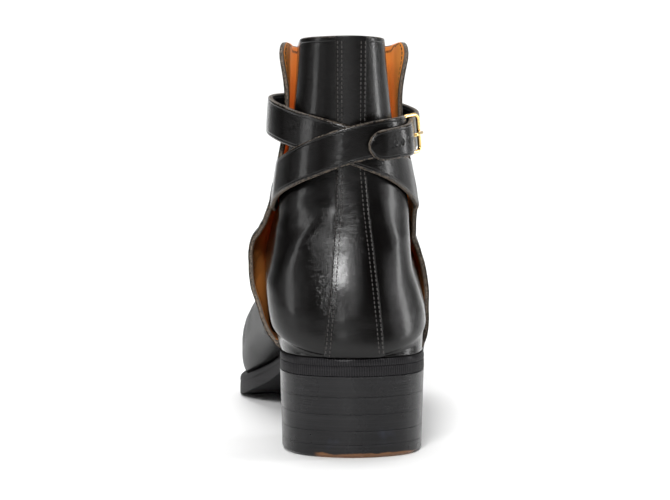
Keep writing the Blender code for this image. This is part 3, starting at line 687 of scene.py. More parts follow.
def front_piece(mats):
    creased = list(np.arange(3.0, 8.0, 0.06)) + list(np.arange(12.84, 16.5, 0.06))
    places = fine_places(20, 0.12, NEAR_TOP + [9.8, 9.9, 10.0, 20.0] + creased)
    half = list(np.linspace(0, 1, 49)) + [0.984, 0.991, 0.9955, 0.998]
    half = sorted(set(round(float(p), 4) for p in half))
    parts = [-p for p in reversed(half[1:])] + half
    points = []
    for place in places:
        inner = wing_limit(place, "inner")
        outer = wing_limit(place, "outer")
        for part in parts:
            around = spread(abs(part), outer if part >= 0 else inner)
            around = around if part >= 0 else -around
            point = skin("front", place, around)
            depth = crease_depth(place, around)
            if depth > 0.01:
                front, back = section(place)
                core = np.array([0.0, front[0] * 0.6 + back[0] * 0.4, front[1] * 0.6 + back[1] * 0.4])
                inward = core - point
                point = point + inward / np.linalg.norm(inward) * depth
            points.append(point)
    grid = np.array(points).reshape(len(places), len(parts), 3)
    free = np.array(places) < SECTION_AT["breast"] - 0.05
    edges, runs = edge_distances(grid, free, free, True)
    faces = grid_faces(len(places), len(parts))
    return thick_sheet("front_leather", points, faces, edges.ravel(), runs.ravel(), WALL, 0.0, mats)


COUNTER_FRONT = 0.36


def back_rows():
    rows = fine_places(SEAT, 0.1, NEAR_TOP + [SEAT - 0.03])
    targets = list(np.arange(0.6, 16, 0.8))
    for target in targets:
        low = float(SEAT)
        high = SEAT + 1.0
        for _ in range(30):
            middle = (low + high) / 2
            if column("back_y", middle) < target:
                low = middle
            else:
                high = middle
        rows.append((low + high) / 2)
    rows += list(np.arange(SEAT + 1, SECTION_AT["waist"] + 0.01, 0.12)) + [float(SECTION_AT["waist"])]
    return sorted(set(round(float(p), 4) for p in rows))


def folded(point):
    height = fold_height(point[0], point[2])
    if abs(height) < 0.005:
        return point
    outward = np.array([point[0] * 0.9, point[1] - 40.0, 0.0])
    return point + outward / np.linalg.norm(outward) * height


def back_piece(mats):
    places = back_rows()
    steps = list(np.linspace(0, 1, 45)) + [0.004, 0.01]
    steps = sorted(set(round(float(p), 4) for p in steps))
    points = []
    faces = []
    edges = []
    runs = []
    for side in (1, -1):
        base = len(points)
        for place in places:
            for step in steps:
                around = COUNTER_FRONT + (1 - COUNTER_FRONT) * step
                points.append(folded(skin("back", place, side * around)))
        grid = np.array(points[base:]).reshape(len(places), len(steps), 3)
        held = np.zeros(len(places), dtype=bool)
        near, run = edge_distances(grid, held, held, True)
        edges += list(near.ravel())
        runs += list(run[:, ::-1].ravel() if side < 0 else run.ravel())
        faces += grid_faces(len(places), len(steps), base, side < 0)
    return thick_sheet("back_leather", points, faces, edges, runs, WALL, 0.0, mats)


def strip_value(name, place):
    keys = [SECTION_AT[row.section] for row in BACK_STRIP]
    return float(np.interp(place, keys, [getattr(row, name) for row in BACK_STRIP]))


def strip_point(place, share):
    return folded(on_back(place, strip_value("middle", place) + strip_value("half", place) * share))


# How far the strip's lower face reaches into the gap below it
STRIP_BEDDED = 0.2


def strip_piece(mats):
    places = fine_places(SEAT - 0.02, 0.08, NEAR_TOP + [SEAT - 0.02])
    shares = sorted(list(np.linspace(-1, 1, 21)) + [-0.97, -0.94, 0.94, 0.97])
    points = [strip_point(place, share) for place in places for share in shares]
    grid = np.array(points).reshape(len(places), len(shares), 3)
    free = np.ones(len(places), dtype=bool)
    edges, runs = edge_distances(grid, free, free, False)
    faces = grid_faces(len(places), len(shares), flip=True)
    lift = GAP + STRIP_THICK
    thick = STRIP_THICK + STRIP_BEDDED
    return thick_sheet("strip_leather", points, faces, edges.ravel(), runs.ravel(), thick, lift, mats, 0.7)


# Stitches on the back strip: distances of the rows from its edges, pitch, length and thickness
STITCH_ROWS = (1.0, 2.6)
STITCH_PITCH = 1.9
STITCH_LENGTH = 1.25
STITCH_THICK = 0.46
# Shape of one stitch: share of its length and of its thickness
STITCH_SHAPE = [(0.0, 0.25), (0.12, 0.75), (0.35, 1.0), (0.65, 1.0), (0.88, 0.75), (1.0, 0.25)]
STITCH_SIDES = 6


def stitch_row(points, normals, base):
    """Stitches along a line of points, as short raised capsules."""
    run = line_runs(points)

    def at(values, where):
        return np.array([np.interp(where, run, values[:, k]) for k in range(3)])

    verts = []
    faces = []
    start = STITCH_PITCH / 2
    while start + STITCH_LENGTH < run[-1]:
        faces += ring_faces(len(STITCH_SHAPE), STITCH_SIDES, base + len(verts))
        for share, size in STITCH_SHAPE:
            where = start + STITCH_LENGTH * share
            here = at(points, where)
            ahead = here - at(points, where - 0.4)
            ahead = ahead / np.linalg.norm(ahead)
            out = at(normals, where)
            out = out / np.linalg.norm(out)
            beside = np.cross(ahead, out)
            for k in range(STITCH_SIDES):
                turn = 2 * pi * k / STITCH_SIDES
                offset = (beside * cos(turn) + out * sin(turn)) * size
                verts.append(here + (out * 0.15 + offset / 2) * STITCH_THICK)
        start += STITCH_PITCH
    return verts, faces


def strip_stitches(mats):
    places = np.arange(0.06, SEAT - 0.05, 0.05)
    points = []
    faces = []
    for side, inset in [(side, inset) for side in (-1, 1) for inset in STITCH_ROWS]:
        line = []
        normals = []
        for place in places:
            share = side * (1 - inset / strip_value("half", place))
            here = strip_point(place, share)
            beside = strip_point(place, share + 0.05) - strip_point(place, share - 0.05)
            below = strip_point(place + 0.03, share) - here
            out = np.cross(below, beside)
            out = out / np.linalg.norm(out)
            if out[1] > 0:
                out = -out
            line.append(here + out * (GAP + STRIP_THICK))
            normals.append(out)
        verts, loops = stitch_row(np.array(line), np.array(normals), len(points))
        points += verts
        faces += loops
    mesh = build_mesh("strip_stitches", points, faces, [0] * len(faces), {})
    even_normals(mesh)
    return make_object("strip_stitches", mesh, mats)


# The root of a strap goes on into the wing it is cut with: how far, and how deep
ROOT_REACH = 5.0
ROOT_SINK = 1.7
# Points across a strap, as shares of its half width
STRAP_SHARES = [-1, -0.97, -0.9, -0.75, -0.5, -0.25, 0, 0.25, 0.5, 0.75, 0.9, 0.97, 1]


def strap_frames(stops, steps, turn):
    count = len(stops) - 1
    places = [count * i / steps for i in range(steps + 1)]
    centre = [np.array([cubic([getattr(row, axis) for row in stops], p) for axis in ("x", "y", "z")])
              for p in places]
    frames = []
    for i, here in enumerate(centre):
        ahead = centre[min(i + 1, steps)] - centre[max(i - 1, 0)]
        ahead = ahead / np.linalg.norm(ahead)
        outward = turn * np.cross(ahead, [0.0, 0.0, 1.0])
        outward = outward / np.linalg.norm(outward)
        up = turn * np.cross(outward, ahead)
        skew = cubic([row.skew for row in stops], places[i]) * pi / 180
        lean = cubic([row.lean for row in stops], places[i]) * pi / 180
        up = (up * cos(skew) + ahead * sin(skew)) * cos(lean) - outward * sin(lean)
        outward = outward * cos(lean) + np.array([0.0, 0.0, sin(lean)])
        frames.append((here, ahead, up, outward))
    return places, frames


def strap_piece(name, stops, steps, turn, mats, tip_from=None):
    """Strap with rounded raw edges, and its length. Slots are outside, inside and raw edge."""
    places, frames = strap_frames(stops, steps, turn)
    here, ahead, up, outward = frames[0]
    places = [0.0] + places
    frames = [(here - ahead * ROOT_REACH - outward * ROOT_SINK, ahead, up, outward)] + frames
    runs = line_runs([row[0] for row in frames])
    points = []
    values = {"edge_mm": [], "run_mm": [], "across_mm": []}
    for place, run, (here, ahead, up, outward) in zip(places, runs, frames):
        half = cubic([row.width for row in stops], place) / 2
        if tip_from is not None:
            half *= tip_round(place, tip_from, len(stops) - 1)
        for side in (1, -1):
            for share in STRAP_SHARES[::side]:
                edge = half * (1 - abs(share))
                through = side * STRAP_THICK / 2 * (1 - pull(edge, 0.8, 0.5))
                if side > 0:
                    through += 0.1 * (1 - share * share)
                points.append(here + up * half * share + outward * through)
                values["edge_mm"].append(edge)
                values["run_mm"].append(run)
                values["across_mm"].append(half * share)
    wide = len(STRAP_SHARES)
    faces = ring_faces(len(frames), 2 * wide)
    around = [0] * (wide - 1) + [2] + [1] * (wide - 1) + [2]
    slots = around * (len(frames) - 1) + [2, 2]
    mesh = build_mesh(name, points, faces, slots, values)
    even_normals(mesh)
    return make_object(name, mesh, mats), runs[-1]


def layered(name, loops, mats, sharp=24, closed=False):
    """Piece from stacked outlines, capped, or closed to a ring. run_mm counts along the outline."""
    points = [point for loop in loops for point in loop]
    faces = ring_faces(len(loops), len(loops[0]), closed=closed)
    values = {"run_mm": line_runs(loops[0]) * len(loops)}
    mesh = build_mesh(name, points, faces, [0] * len(faces), values)
    even_normals(mesh)
    piece = make_object(name, mesh, mats)
    mesh.set_sharp_from_angle(angle=sharp * pi / 180)
    return piece


def sole_outline(inset, steps=130):
    """Outline of the sole, from the toe round the inner side to the heel and back."""
    places = np.linspace(0, len(SOLE_PLAN) - 1, steps + 1)
    inner = [plan_edge(p, "inner", inset) for p in places]
    outer = [plan_edge(p, "outer", inset) for p in places]
    return inner[::-1] + outer[1:-1]


def sole_plate(name, low_of, high_of, mats, ease=0.8):
    """Outsole: eased edges and a slightly rounded side."""
    levels = [(ease, 0.0), (0.3, 0.06), (0.22, 0.2), (0.22, 0.85), (0.3, 0.98), (0.36, 1.0)]
    loops = []
    for inset, share in levels:
        outline = sole_outline(inset)
        loops.append([(x, y, low_of(y) + (high_of(y) - low_of(y)) * share) for x, y in outline])
    return layered(name, loops, mats)


def welt_piece(mats):
    """Strip round the sole's edge, open in the middle."""
    profile = [(0.5, 0.0), (0.28, 0.12), (0.2, 0.4), (0.28, 0.7), (0.55, 0.92), (1.0, 1.0), (WELT_WIDTH, 1.0),
               (WELT_WIDTH, 0.0)]
    rings = []
    for inset, share in profile:
        rings.append([(x, y, sole_top(y) - WELT_THICK * (1 - share)) for x, y in sole_outline(inset)])
    return layered("welt_leather", rings, mats, 35, True)


def lift_outline(taper, steps=70, breast_steps=12):
    last = 4.2
    inner = [plan_edge(p, "inner", HEEL_INSET + taper) for p in np.linspace(0, last, steps + 1)]
    outer = [plan_edge(p, "outer", HEEL_INSET + taper) for p in np.linspace(0, last, steps + 1)]
    kept = sum(plan_point(p, "inner")[1] < HEEL_BREAST - 0.8 for p in np.linspace(0, last, steps + 1))
    inner = inner[:kept]
    outer = outer[:kept]
    breast = []
    for i in range(breast_steps + 1):
        share = i / breast_steps
        x = inner[-1][0] + (outer[-1][0] - inner[-1][0]) * share
        breast.append(np.array([x, HEEL_BREAST - BREAST_HOLLOW * sin(pi * share)]))
    return inner + breast + outer[1:][::-1]


# Open joint between two lifts
JOINT = 0.06


def level_below(level):
    """Level upper face of a lift, one joint below the next floor."""
    return lambda y: level - JOINT


def heel_pieces(mats):
    pieces = []
    top = sole_under(0)
    ceilings = [lambda y: sole_under(y) - JOINT] + [level_below(level) for level in LIFT_FLOORS]
    floors = LIFT_FLOORS + [0.0]
    nodes = ["heel_lift_1", "heel_lift_2", "heel_lift_3", "heel_lift_4", "heel_top_lift"]
    for node, low, ceiling in zip(nodes, floors, ceilings):
        worn = WORN_EDGE if low == 0 else 0.05
        tall = ceiling(0) - low
        levels = [(worn, 0.0), (worn * 0.35, worn * 0.55), (0.0, worn), (0.0, tall - 0.05), (0.05, tall)]
        loops = []
        for inset, rise in levels:
            taper = HEEL_TAPER * (1 - (low + rise) / top) + inset
            share = rise / tall
            loops.append([(x, y, low + (ceiling(y) - low) * share) for x, y in lift_outline(taper)])
        piece = layered(node.replace("heel", "stack"), loops, mats)
        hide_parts(node)
        pieces.append(piece)
    return pieces


def tube_piece(name, points, radius, flat, mats, sides=14, closed=False):
    """Round bar through the points; flat is a direction that is never along the bar."""
    count = len(points)
    verts = []
    for i in range(count):
        after = points[(i + 1) % count] if closed else points[min(i + 1, count - 1)]
        before = points[i - 1] if closed else points[max(i - 1, 0)]
        ahead = (after - before) / np.linalg.norm(after - before)
        sideways = np.cross(ahead, flat)
        sideways = sideways / np.linalg.norm(sideways)
        upright = np.cross(sideways, ahead)
        for j in range(sides):
            angle = 2 * pi * j / sides
            verts.append(points[i] + (sideways * cos(angle) + upright * sin(angle)) * radius)
    faces = ring_faces(count, sides, closed=closed)
    return make_object(name, build_mesh(name, verts, faces, [0] * len(faces), {}), mats)


def frame_points():
    along, up, out = buckle_axes()
    middle = (HINGE_BAR + FAR_BAR) / 2
    straight_long = np.linalg.norm(FAR_BAR - HINGE_BAR) / 2 - BUCKLE_CORNER
    straight_high = (BUCKLE_HEIGHT - BAR) / 2 - BUCKLE_CORNER
    points = []
    for quarter, (side_long, side_high) in enumerate(((1, 1), (-1, 1), (-1, -1), (1, -1))):
        for i in range(9):
            angle = (quarter + i / 8) * pi / 2
            reach_long = side_long * straight_long + BUCKLE_CORNER * cos(angle)
            reach_high = side_high * straight_high + BUCKLE_CORNER * sin(angle)
            points.append(middle + along * reach_long + up * reach_high)
    return points, out


# Materials. Every texture is laid in the boot's own metres or along a named value of the mesh.
class Nodes:
    """Short way to wire one material."""

    def __init__(self, name):
        self.stuff = bpy.data.materials.new(name)
        self.stuff.use_nodes = True
        self.tree = self.stuff.node_tree
        self.shader = self.tree.nodes["Principled BSDF"]
        self.place = self.add("ShaderNodeTexCoord").outputs["Object"]

    def add(self, kind, **settings):
        node = self.tree.nodes.new(kind)
        for key, value in settings.items():
            setattr(node, key, value)
        return node

    def link(self, out, into):
        self.tree.links.new(out, into)

    def stretched(self, scale):
        node = self.add("ShaderNodeMapping")
        self.link(self.place, node.inputs["Vector"])
        node.inputs["Scale"].default_value = scale
        return node.outputs["Vector"]

    def noise(self, scale, detail=3.0, rough=0.55, vector=None):
        node = self.add("ShaderNodeTexNoise")
        self.link(vector or self.place, node.inputs["Vector"])
        node.inputs["Scale"].default_value = scale
        node.inputs["Detail"].default_value = detail
        node.inputs["Roughness"].default_value = rough
        return node.outputs["Fac"]

    def cells(self, scale, vector=None):
        node = self.add("ShaderNodeTexVoronoi", feature="DISTANCE_TO_EDGE")
        self.link(vector or self.place, node.inputs["Vector"])
        node.inputs["Scale"].default_value = scale
        return node.outputs["Distance"]

    def value(self, name):
        return self.add("ShaderNodeAttribute", attribute_name=name).outputs["Fac"]

    def math(self, kind, a, b=None, c=None, clamp=False):
        node = self.add("ShaderNodeMath", operation=kind, use_clamp=clamp)
        for socket, item in zip(node.inputs, (a, b, c)):
            if item is None:
                continue
            if isinstance(item, (int, float)):
                socket.default_value = item
            else:
                self.link(item, socket)
        return node.outputs[0]

    def cycle(self, source, pitch):
        """0 to 1 over each pitch."""
        return self.math("FRACT", self.math("DIVIDE", source, pitch))

    def axes(self):
        split = self.add("ShaderNodeSeparateXYZ")
        self.link(self.place, split.inputs[0])
        return split.outputs

    def ramp(self, source, low, high, low_out=0.0, high_out=1.0):
        node = self.add("ShaderNodeMapRange", interpolation_type="SMOOTHSTEP")
        self.link(source, node.inputs[0])
        for index, number in enumerate((low, high, low_out, high_out), start=1):
            node.inputs[index].default_value = number
        return node.outputs[0]

    def band(self, source, centre, half, soft=0.15):
        away = self.math("ABSOLUTE", self.math("SUBTRACT", source, centre))
        return self.ramp(away, half - soft, half + soft, 1.0, 0.0)

    def mix(self, share, first, second):
        node = self.add("ShaderNodeMix", data_type="RGBA")
        self.link(share, node.inputs[0])
        for socket, colour in ((node.inputs[6], first), (node.inputs[7], second)):
            if isinstance(colour, tuple):
                socket.default_value = (*colour, 1.0)
            else:
                self.link(colour, socket)
        return node.outputs[2]

    def bump(self, height, distance, strength=1.0, before=None):
        node = self.add("ShaderNodeBump")
        node.inputs["Strength"].default_value = strength
        node.inputs["Distance"].default_value = distance
        self.link(height, node.inputs["Height"])
        if before is not None:
            self.link(before, node.inputs["Normal"])
        return node.outputs["Normal"]

    def end(self, colour, rough, normal=None, coat=0.0, coat_rough=0.1, metal=0.0, specular=0.5):
        for name, item in (("Base Color", colour), ("Roughness", rough)):
            socket = self.shader.inputs[name]
            if isinstance(item, tuple):
                socket.default_value = (*item, 1.0)
            elif isinstance(item, float):
                socket.default_value = item
            else:
                self.link(item, socket)
        if normal is not None:
            self.link(normal, self.shader.inputs["Normal"])
            self.link(normal, self.shader.inputs["Coat Normal"])
        self.shader.inputs["Coat Weight"].default_value = coat
        self.shader.inputs["Coat Roughness"].default_value = coat_rough
        self.shader.inputs["Metallic"].default_value = metal
        self.shader.inputs["Specular IOR Level"].default_value = specular
        return self.stuff


def grain(n, fine=0.00005):
    """Pores and faint wrinkles of polished calf."""
    pores = n.ramp(n.cells(1500.0), 0.0, 0.12)
    soft = n.noise(420.0, 4.0)
    broad = n.noise(70.0, 3.0)
    first = n.bump(broad, 0.0006, 0.3)
    second = n.bump(soft, 0.00012, 0.35, first)
    return n.bump(pores, fine, 0.35, second)


# Spacing of stitches in the leather and of the wheel marks on the welt, in millimetres
SEAM_PITCH = 2.3
WHEEL_PITCH = 1.05
# Specular level and roughness of the polished leather
LEATHER_SHINE = 0.28
LEATHER_ROUGH = 0.16


def calf(name, crease_at=1.4, stitch_at=None, rough=LEATHER_ROUGH, wear=1.0, shine=LEATHER_SHINE, coat=0.08):
    """Black polished calf. The crease line, worn edge and stitches follow the distance to the free edge."""
    n = Nodes(name)
    edge = n.value("edge_mm")
    normal = grain(n)
    line = n.band(edge, crease_at, 0.2, 0.16)
    normal = n.bump(n.math("SUBTRACT", 1.0, line), 0.00022, 0.9, normal)
    rub = n.math("MULTIPLY", n.ramp(edge, 0.15, 0.9, wear, 0.0), n.ramp(n.noise(900.0, 5.0), 0.38, 0.62))
    dust = n.ramp(n.noise(38.0, 5.0, 0.65), 0.56, 0.78)
    colour = n.mix(dust, (0.0025, 0.0022, 0.0021), (0.0055, 0.0045, 0.0042))
    colour = n.mix(rub, colour, (0.09, 0.07, 0.052))
    if stitch_at is not None:
        run = n.cycle(n.value("run_mm"), SEAM_PITCH)
        dash = n.math("MULTIPLY", n.band(edge, stitch_at, 0.24, 0.1), n.band(run, 0.5, 0.38, 0.06))
        normal = n.bump(dash, 0.0003, 0.8, normal)
        colour = n.mix(dash, colour, (0.03, 0.028, 0.027))
    scuff = n.noise(24.0, 6.0, 0.7, n.stretched((1.0, 1.0, 0.35)))
    gloss = n.ramp(scuff, 0.35, 0.75, rough - 0.03, rough + 0.07)
    gloss = n.math("ADD", gloss, n.math("MULTIPLY", rub, 0.3), clamp=True)
    return n.end(colour, gloss, normal, coat=coat, coat_rough=0.14, specular=shine)


def lining(name):
    """Tan calf lining, with painted shade that darkens it toward the foot, deep inside the boot, and a row of
    dark stitches near the free edge.
    """
    n = Nodes(name)
    edge = n.value("edge_mm")
    run = n.cycle(n.value("run_mm"), SEAM_PITCH)
    dash = n.math("MULTIPLY", n.band(edge, 2.8, 0.55, 0.1), n.band(run, 0.5, 0.34, 0.06))
    tone = n.noise(60.0, 5.0, 0.6)
    colour = n.mix(tone, (0.84, 0.27, 0.04), (0.95, 0.37, 0.07))
    stain = n.ramp(n.noise(26.0, 4.0, 0.6), 0.5, 0.85)
    colour = n.mix(n.math("MULTIPLY", stain, 0.4), colour, (0.34, 0.1, 0.02))
    # Painted shade: the lining darkens lower down, where it lies deep inside the boot
    colour = n.mix(n.ramp(n.axes()[2], 0.08, 0.122, 0.75, 0.0), colour, (0.2, 0.06, 0.012))
    colour = n.mix(dash, colour, (0.012, 0.005, 0.003))
    trim = n.ramp(edge, 0.25, 0.7, 1.0, 0.0)
    colour = n.mix(trim, colour, (0.05, 0.032, 0.02))
    normal = n.bump(n.cells(1100.0), 0.00008, 0.35)
    normal = n.bump(n.math("SUBTRACT", 1.0, dash), 0.0003, 0.6, normal)
    return n.end(colour, 0.5, normal)


def raw_edge(name, fibre_colour):
    """Cut edge of the leather: brownish grey fibres with worn dye."""
    n = Nodes(name)
    fibre = n.noise(1400.0, 6.0, 0.7)
    patch = n.noise(220.0, 4.0, 0.6)
    colour = n.mix(n.ramp(fibre, 0.35, 0.7), (0.012, 0.01, 0.009), fibre_colour)
    colour = n.mix(n.ramp(patch, 0.5, 0.7), colour, (0.022, 0.017, 0.014))
    normal = n.bump(fibre, 0.0004, 0.8)
    return n.end(colour, 0.8, normal)


def punched(name, total):
    """Calf of the long strap, with the row of holes near its tip, coloured darker as painted shade inside them.
    """
    stuff = calf(name)
    n = Nodes.__new__(Nodes)
    n.stuff = stuff
    n.tree = stuff.node_tree
    n.shader = n.tree.nodes["Principled BSDF"]
    run = n.value("run_mm")
    across = n.math("ABSOLUTE", n.value("across_mm"))
    step = n.cycle(n.math("SUBTRACT", run, total - 30.0), HOLE_PITCH)
    beside = n.math("MULTIPLY", n.math("ABSOLUTE", n.math("SUBTRACT", step, 0.5)), HOLE_PITCH)
    aside = n.math("MULTIPLY", across, HOLE_TALLNESS)
    away = n.math("SQRT", n.math("ADD", n.math("POWER", beside, 2.0), n.math("POWER", aside, 2.0)))
    hole = n.ramp(away, 0.45, 0.75, 1.0, 0.0)
    inside = n.band(run, total - 20.0, 10.4, 0.2)
    hole = n.math("MULTIPLY", hole, inside)
    colour_link = n.shader.inputs["Base Color"].links[0].from_socket
    normal_link = n.shader.inputs["Normal"].links[0].from_socket
    rough_link = n.shader.inputs["Roughness"].links[0].from_socket
    # Painted shade in the holes: they are coloured darker than the calf round them
    n.link(n.mix(hole, colour_link, (0.0015, 0.0014, 0.0013)), n.shader.inputs["Base Color"])
    rim = n.ramp(away, 0.5, 1.1, 0.0, 1.0)
    keep = n.math("MAXIMUM", rim, n.math("SUBTRACT", 1.0, inside))
    dented = n.bump(keep, 0.0006, 0.9, normal_link)
    n.link(dented, n.shader.inputs["Normal"])
    n.link(dented, n.shader.inputs["Coat Normal"])
    n.link(n.math("ADD", rough_link, n.math("MULTIPLY", hole, 0.5), clamp=True), n.shader.inputs["Roughness"])
    return stuff


# Strap holes: spacing in millimetres, and their width as a share of their height
HOLE_PITCH = 4.0
HOLE_TALLNESS = 0.62


def burnished(name, wheel=False, floor_wear=False):
    """Black dressed leather edge with fine brush lines along it."""
    n = Nodes(name)
    lines = n.noise(1.0, 5.0, 0.65, n.stretched((28.0, 28.0, 2600.0)))
    blotch = n.noise(55.0, 4.0, 0.6)
    colour = n.mix(n.ramp(lines, 0.45, 0.8), (0.0075, 0.0073, 0.008), (0.02, 0.019, 0.021))
    colour = n.mix(n.ramp(blotch, 0.6, 0.8), colour, (0.02, 0.023, 0.034))
    normal = n.bump(lines, 0.00012, 0.5)
    normal = n.bump(n.noise(300.0, 4.0), 0.00012, 0.4, normal)
    if wheel:
        step = n.cycle(n.value("run_mm"), WHEEL_PITCH)
        tick = n.band(step, 0.5, 0.22, 0.12)
        normal = n.bump(tick, 0.00016, 0.55, normal)
        colour = n.mix(n.math("MULTIPLY", tick, 0.5), colour, (0.034, 0.032, 0.034))
    if floor_wear:
        axes = n.axes()
        wobble = n.math("MULTIPLY", n.math("SUBTRACT", n.noise(90.0, 4.0), 0.5), 0.003)
        height = n.math("ADD", axes[2], wobble)
        low = n.ramp(height, 0.0016, 0.0022, 1.0, 0.0)
        stretch = n.band(n.math("ADD", axes[0], wobble), 0.0085, 0.0215, 0.0015)
        bare = n.math("MULTIPLY", low, stretch)
        colour = n.mix(bare, colour, (0.16, 0.075, 0.035))
    gloss = n.ramp(blotch, 0.3, 0.75, 0.24, 0.42)
    finish = {"coat": 0.2, "specular": 0.0} if wheel else {"coat": 0.06, "specular": 0.24}
    return n.end(colour, gloss, normal, coat_rough=0.2, **finish)


def thread(name):
    n = Nodes(name)
    twist = n.noise(2600.0, 3.0)
    return n.end((0.034, 0.03, 0.028), 0.4, n.bump(twist, 0.0001, 0.5))


def gilt(name):
    n = Nodes(name)
    wear = n.noise(300.0, 4.0)
    colour = n.mix(wear, (0.86, 0.55, 0.17), (0.95, 0.70, 0.30))
    gloss = n.ramp(wear, 0.3, 0.8, 0.16, 0.3)
    return n.end(colour, gloss, n.bump(n.noise(700.0, 2.0), 0.00003, 0.4), metal=1.0)


def studio():
    """Pale sweep, soft lights and the camera of the photo."""
    sweep = bpy.data.meshes.new("sweep")
    rows = [(-4.0, 0.0), (2.2, 0.0)]
    for i in range(1, 13):
        turn = i / 12 * pi / 2
        rows.append((2.2 + 1.2 * sin(turn), 1.2 - 1.2 * cos(turn)))
    rows.append((3.4, 5.0))
    verts = [(x, y, z) for y, z in rows for x in (-6.0, 6.0)]
    faces = [[2 * i, 2 * i + 1, 2 * i + 3, 2 * i + 2] for i in range(len(rows) - 1)]
    sweep.from_pydata(verts, [], faces)
    floor = make_object("floor", sweep, [])
    n = Nodes("pale_floor")
    axes = n.axes()
    near = n.mix(n.noise(1.2, 3.0), (0.90, 0.90, 0.90), (0.94, 0.94, 0.935))
    # Painted shade: the floor greys toward the camera and to the left, outside the lit patch round the boot
    tone = n.mix(n.ramp(axes[1], *SHADE_BEFORE, 1.0, 0.0), near, SHADE_GREY)
    aside = n.math("MULTIPLY_ADD", axes[1], LEFT_SLOPE, axes[0])
    tone = n.mix(n.ramp(aside, *SHADE_LEFT, 1.0, 0.0), tone, SHADE_GREY_LEFT)
    sweep.materials.append(n.end(tone, 0.6, specular=0.2))
    for name, place, aim, size, tall, power in LIGHTS:
        data = bpy.data.lights.new(name, "AREA")
        data.shape = "RECTANGLE"
        data.size = size
        data.size_y = tall
        data.energy = power
        lamp = bpy.data.objects.new(name, data)
        bpy.context.scene.collection.objects.link(lamp)
        lamp.location = place
        lamp.rotation_euler = (Vector(aim) - Vector(place)).to_track_quat("-Z", "Y").to_euler()
    world = bpy.data.worlds.new("studio")
    world.use_nodes = True
    tree = world.node_tree
    direction = tree.nodes.new("ShaderNodeTexCoord")
    split = tree.nodes.new("ShaderNodeSeparateXYZ")
    share = tree.nodes.new("ShaderNodeMapRange")
    share.interpolation_type = "SMOOTHSTEP"
    tree.links.new(direction.outputs["Generated"], split.inputs[0])
    across = tree.nodes.new("ShaderNodeMath")
    across.operation = "MULTIPLY_ADD"
    across.inputs[1].default_value = ROOM_ACROSS
    tree.links.new(split.outputs[0], across.inputs[0])
    tree.links.new(split.outputs[1], across.inputs[2])
    tree.links.new(across.outputs[0], share.inputs[0])
    for index, number in enumerate(ROOM, start=1):
        share.inputs[index].default_value = number
    tree.links.new(share.outputs[0], tree.nodes["Background"].inputs["Strength"])
    bpy.context.scene.world = world
    bpy.context.scene.view_settings.view_transform = "Standard"
    data = bpy.data.cameras.new("camera")
    data.sensor_width = SENSOR
    data.lens = LENS
    data.clip_start = 0.01
    camera = bpy.data.objects.new("camera", data)
    bpy.context.scene.collection.objects.link(camera)
    camera.location = CAMERA_AT
    camera.rotation_euler = (Vector(CAMERA_AIM) - Vector(CAMERA_AT)).to_track_quat("-Z", "Y").to_euler()
    bpy.context.scene.camera = camera


CAMERA_AT = (-0.0477, -1.130, 0.1765)
CAMERA_AIM = (-0.0052, -0.130, 0.0886)
SENSOR = 36.0
LENS = 128.96
# Painted shade on the sweep: it goes grey before the boot, and to its left beyond a line that leans away, both
# outside the picture
SHADE_BEFORE = (-1.8, -0.25)
SHADE_GREY = (0.3, 0.3, 0.3)
SHADE_LEFT = (-1.0, -0.28)
LEFT_SLOPE = 0.097
SHADE_GREY_LEFT = (0.24, 0.24, 0.24)
# The room is dim behind the camera and bright beyond the boot: from, to, and the light at both
ROOM = (0.2, 0.9, 0.15, 0.85)
ROOM_ACROSS = 0.45
# Lights: name, place, aim, width, height and power
LIGHTS = [
    ("key", (-0.30, -1.36, 0.84), (0, -0.05, 0.08), 0.42, 0.34, 21.0),
    ("low", (-0.30, -1.62, 0.20), (0, -0.05, 0.12), 0.24, 0.30, 1.1),
    ("left", (-1.45, -0.34, 0.5), (0, -0.05, 0.09), 0.36, 1.0, 5.0),
    ("right", (1.5, 0.05, 0.5), (0, -0.05, 0.09), 0.3, 1.0, 11.0),
    ("top", (0.0, 0.4, 2.0), (0, 0.1, 0.0), 1.8, 1.2, 22.0),
    ("backdrop", (0.0, 1.2, 2.4), (0, 2.6, 0.6), 3.0, 1.0, 75.0),
]


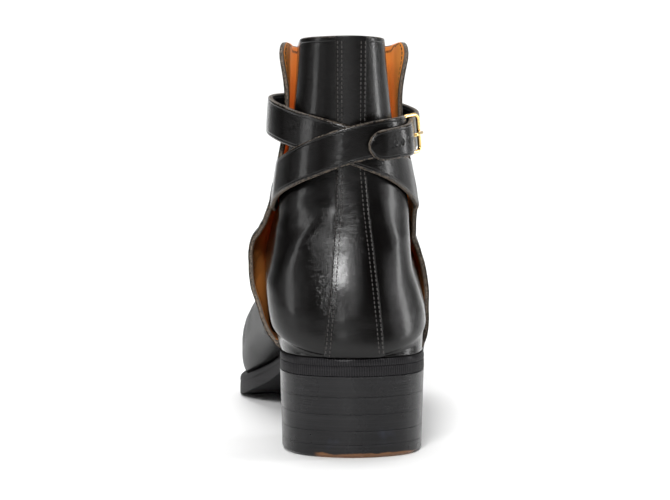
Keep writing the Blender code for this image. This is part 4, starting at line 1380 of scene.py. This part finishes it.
def main():
    studio()
    black = calf("calf_upper", crease_at=1.4, stitch_at=3.0, shine=0.0, coat=0.34)
    panel = calf("calf_panel", crease_at=2.3)
    strap = calf("calf_strap", crease_at=1.4, rough=LEATHER_ROUGH - 0.01)
    strip = calf("calf_strip", crease_at=0.5, rough=LEATHER_ROUGH - 0.01, wear=0.08)
    tan = lining("tan_calf")
    cut = raw_edge("cut_edge", (0.24, 0.185, 0.135))
    dark_cut = raw_edge("dark_cut_edge", (0.03, 0.026, 0.024))
    edge = burnished("sole_edge_dressed", wheel=True)
    stack = burnished("heel_dressed", floor_wear=True)
    under_back = calf("strap_back", rough=0.5)
    gold = gilt("gilt_brass")
    sewing = thread("black_thread")
    front = front_piece([black, tan, cut])
    back = back_piece([panel, tan, cut])
    overlay = strip_piece([strip, dark_cut, dark_cut])
    sewn = strip_stitches([sewing])
    over, over_run = strap_piece("strap_over_leather", STRAP_OVER, 90, 1, [strap, under_back, cut])
    under, under_run = strap_piece(
        "strap_under_leather", STRAP_UNDER, 260, -1, [strap, under_back, cut], TIP_START
    )
    under.data.materials[0] = punched("calf_punched", under_run)
    welt = welt_piece([edge])
    bottom = sole_plate("outsole_leather", sole_under, lambda y: sole_top(y) - WELT_THICK - JOINT, [edge])
    lifts = heel_pieces([stack])
    up = buckle_axes()[1]
    ring, flat = frame_points()
    frame_bar = tube_piece("buckle_ring", ring, BAR / 2, flat, [gold], closed=True)
    foot, knee, tip = prong_path()
    bend = [foot, foot + (knee - foot) * 0.4, foot + (knee - foot) * 0.8, knee + (tip - knee) * 0.1,
            knee + (tip - knee) * 0.5, tip]
    tongue = tube_piece("buckle_tongue", bend, PRONG / 2, up, [gold])
    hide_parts("front_panel")
    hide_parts("back_panel")
    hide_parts("back_strip")
    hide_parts("strap_over")
    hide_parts("strap_under")
    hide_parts("welt")
    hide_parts("outsole")
    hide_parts("buckle_frame")
    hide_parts("buckle_prong")
    for piece in [front, back, overlay, sewn, over, under, welt, bottom, frame_bar, tongue] + lifts:
        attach(piece, "root")
    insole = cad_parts["insole"]
    insole.data.materials.clear()
    insole.data.materials.append(tan)


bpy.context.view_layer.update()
low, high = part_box("outsole")
raw_outline = [plan_edge(p, "inner", 0.0) for p in np.linspace(0, len(SOLE_PLAN) - 1, 31)]
SHIFT = Vector((low.x / MM - min(point[0] for point in raw_outline), low.y / MM, 0.0))
main()
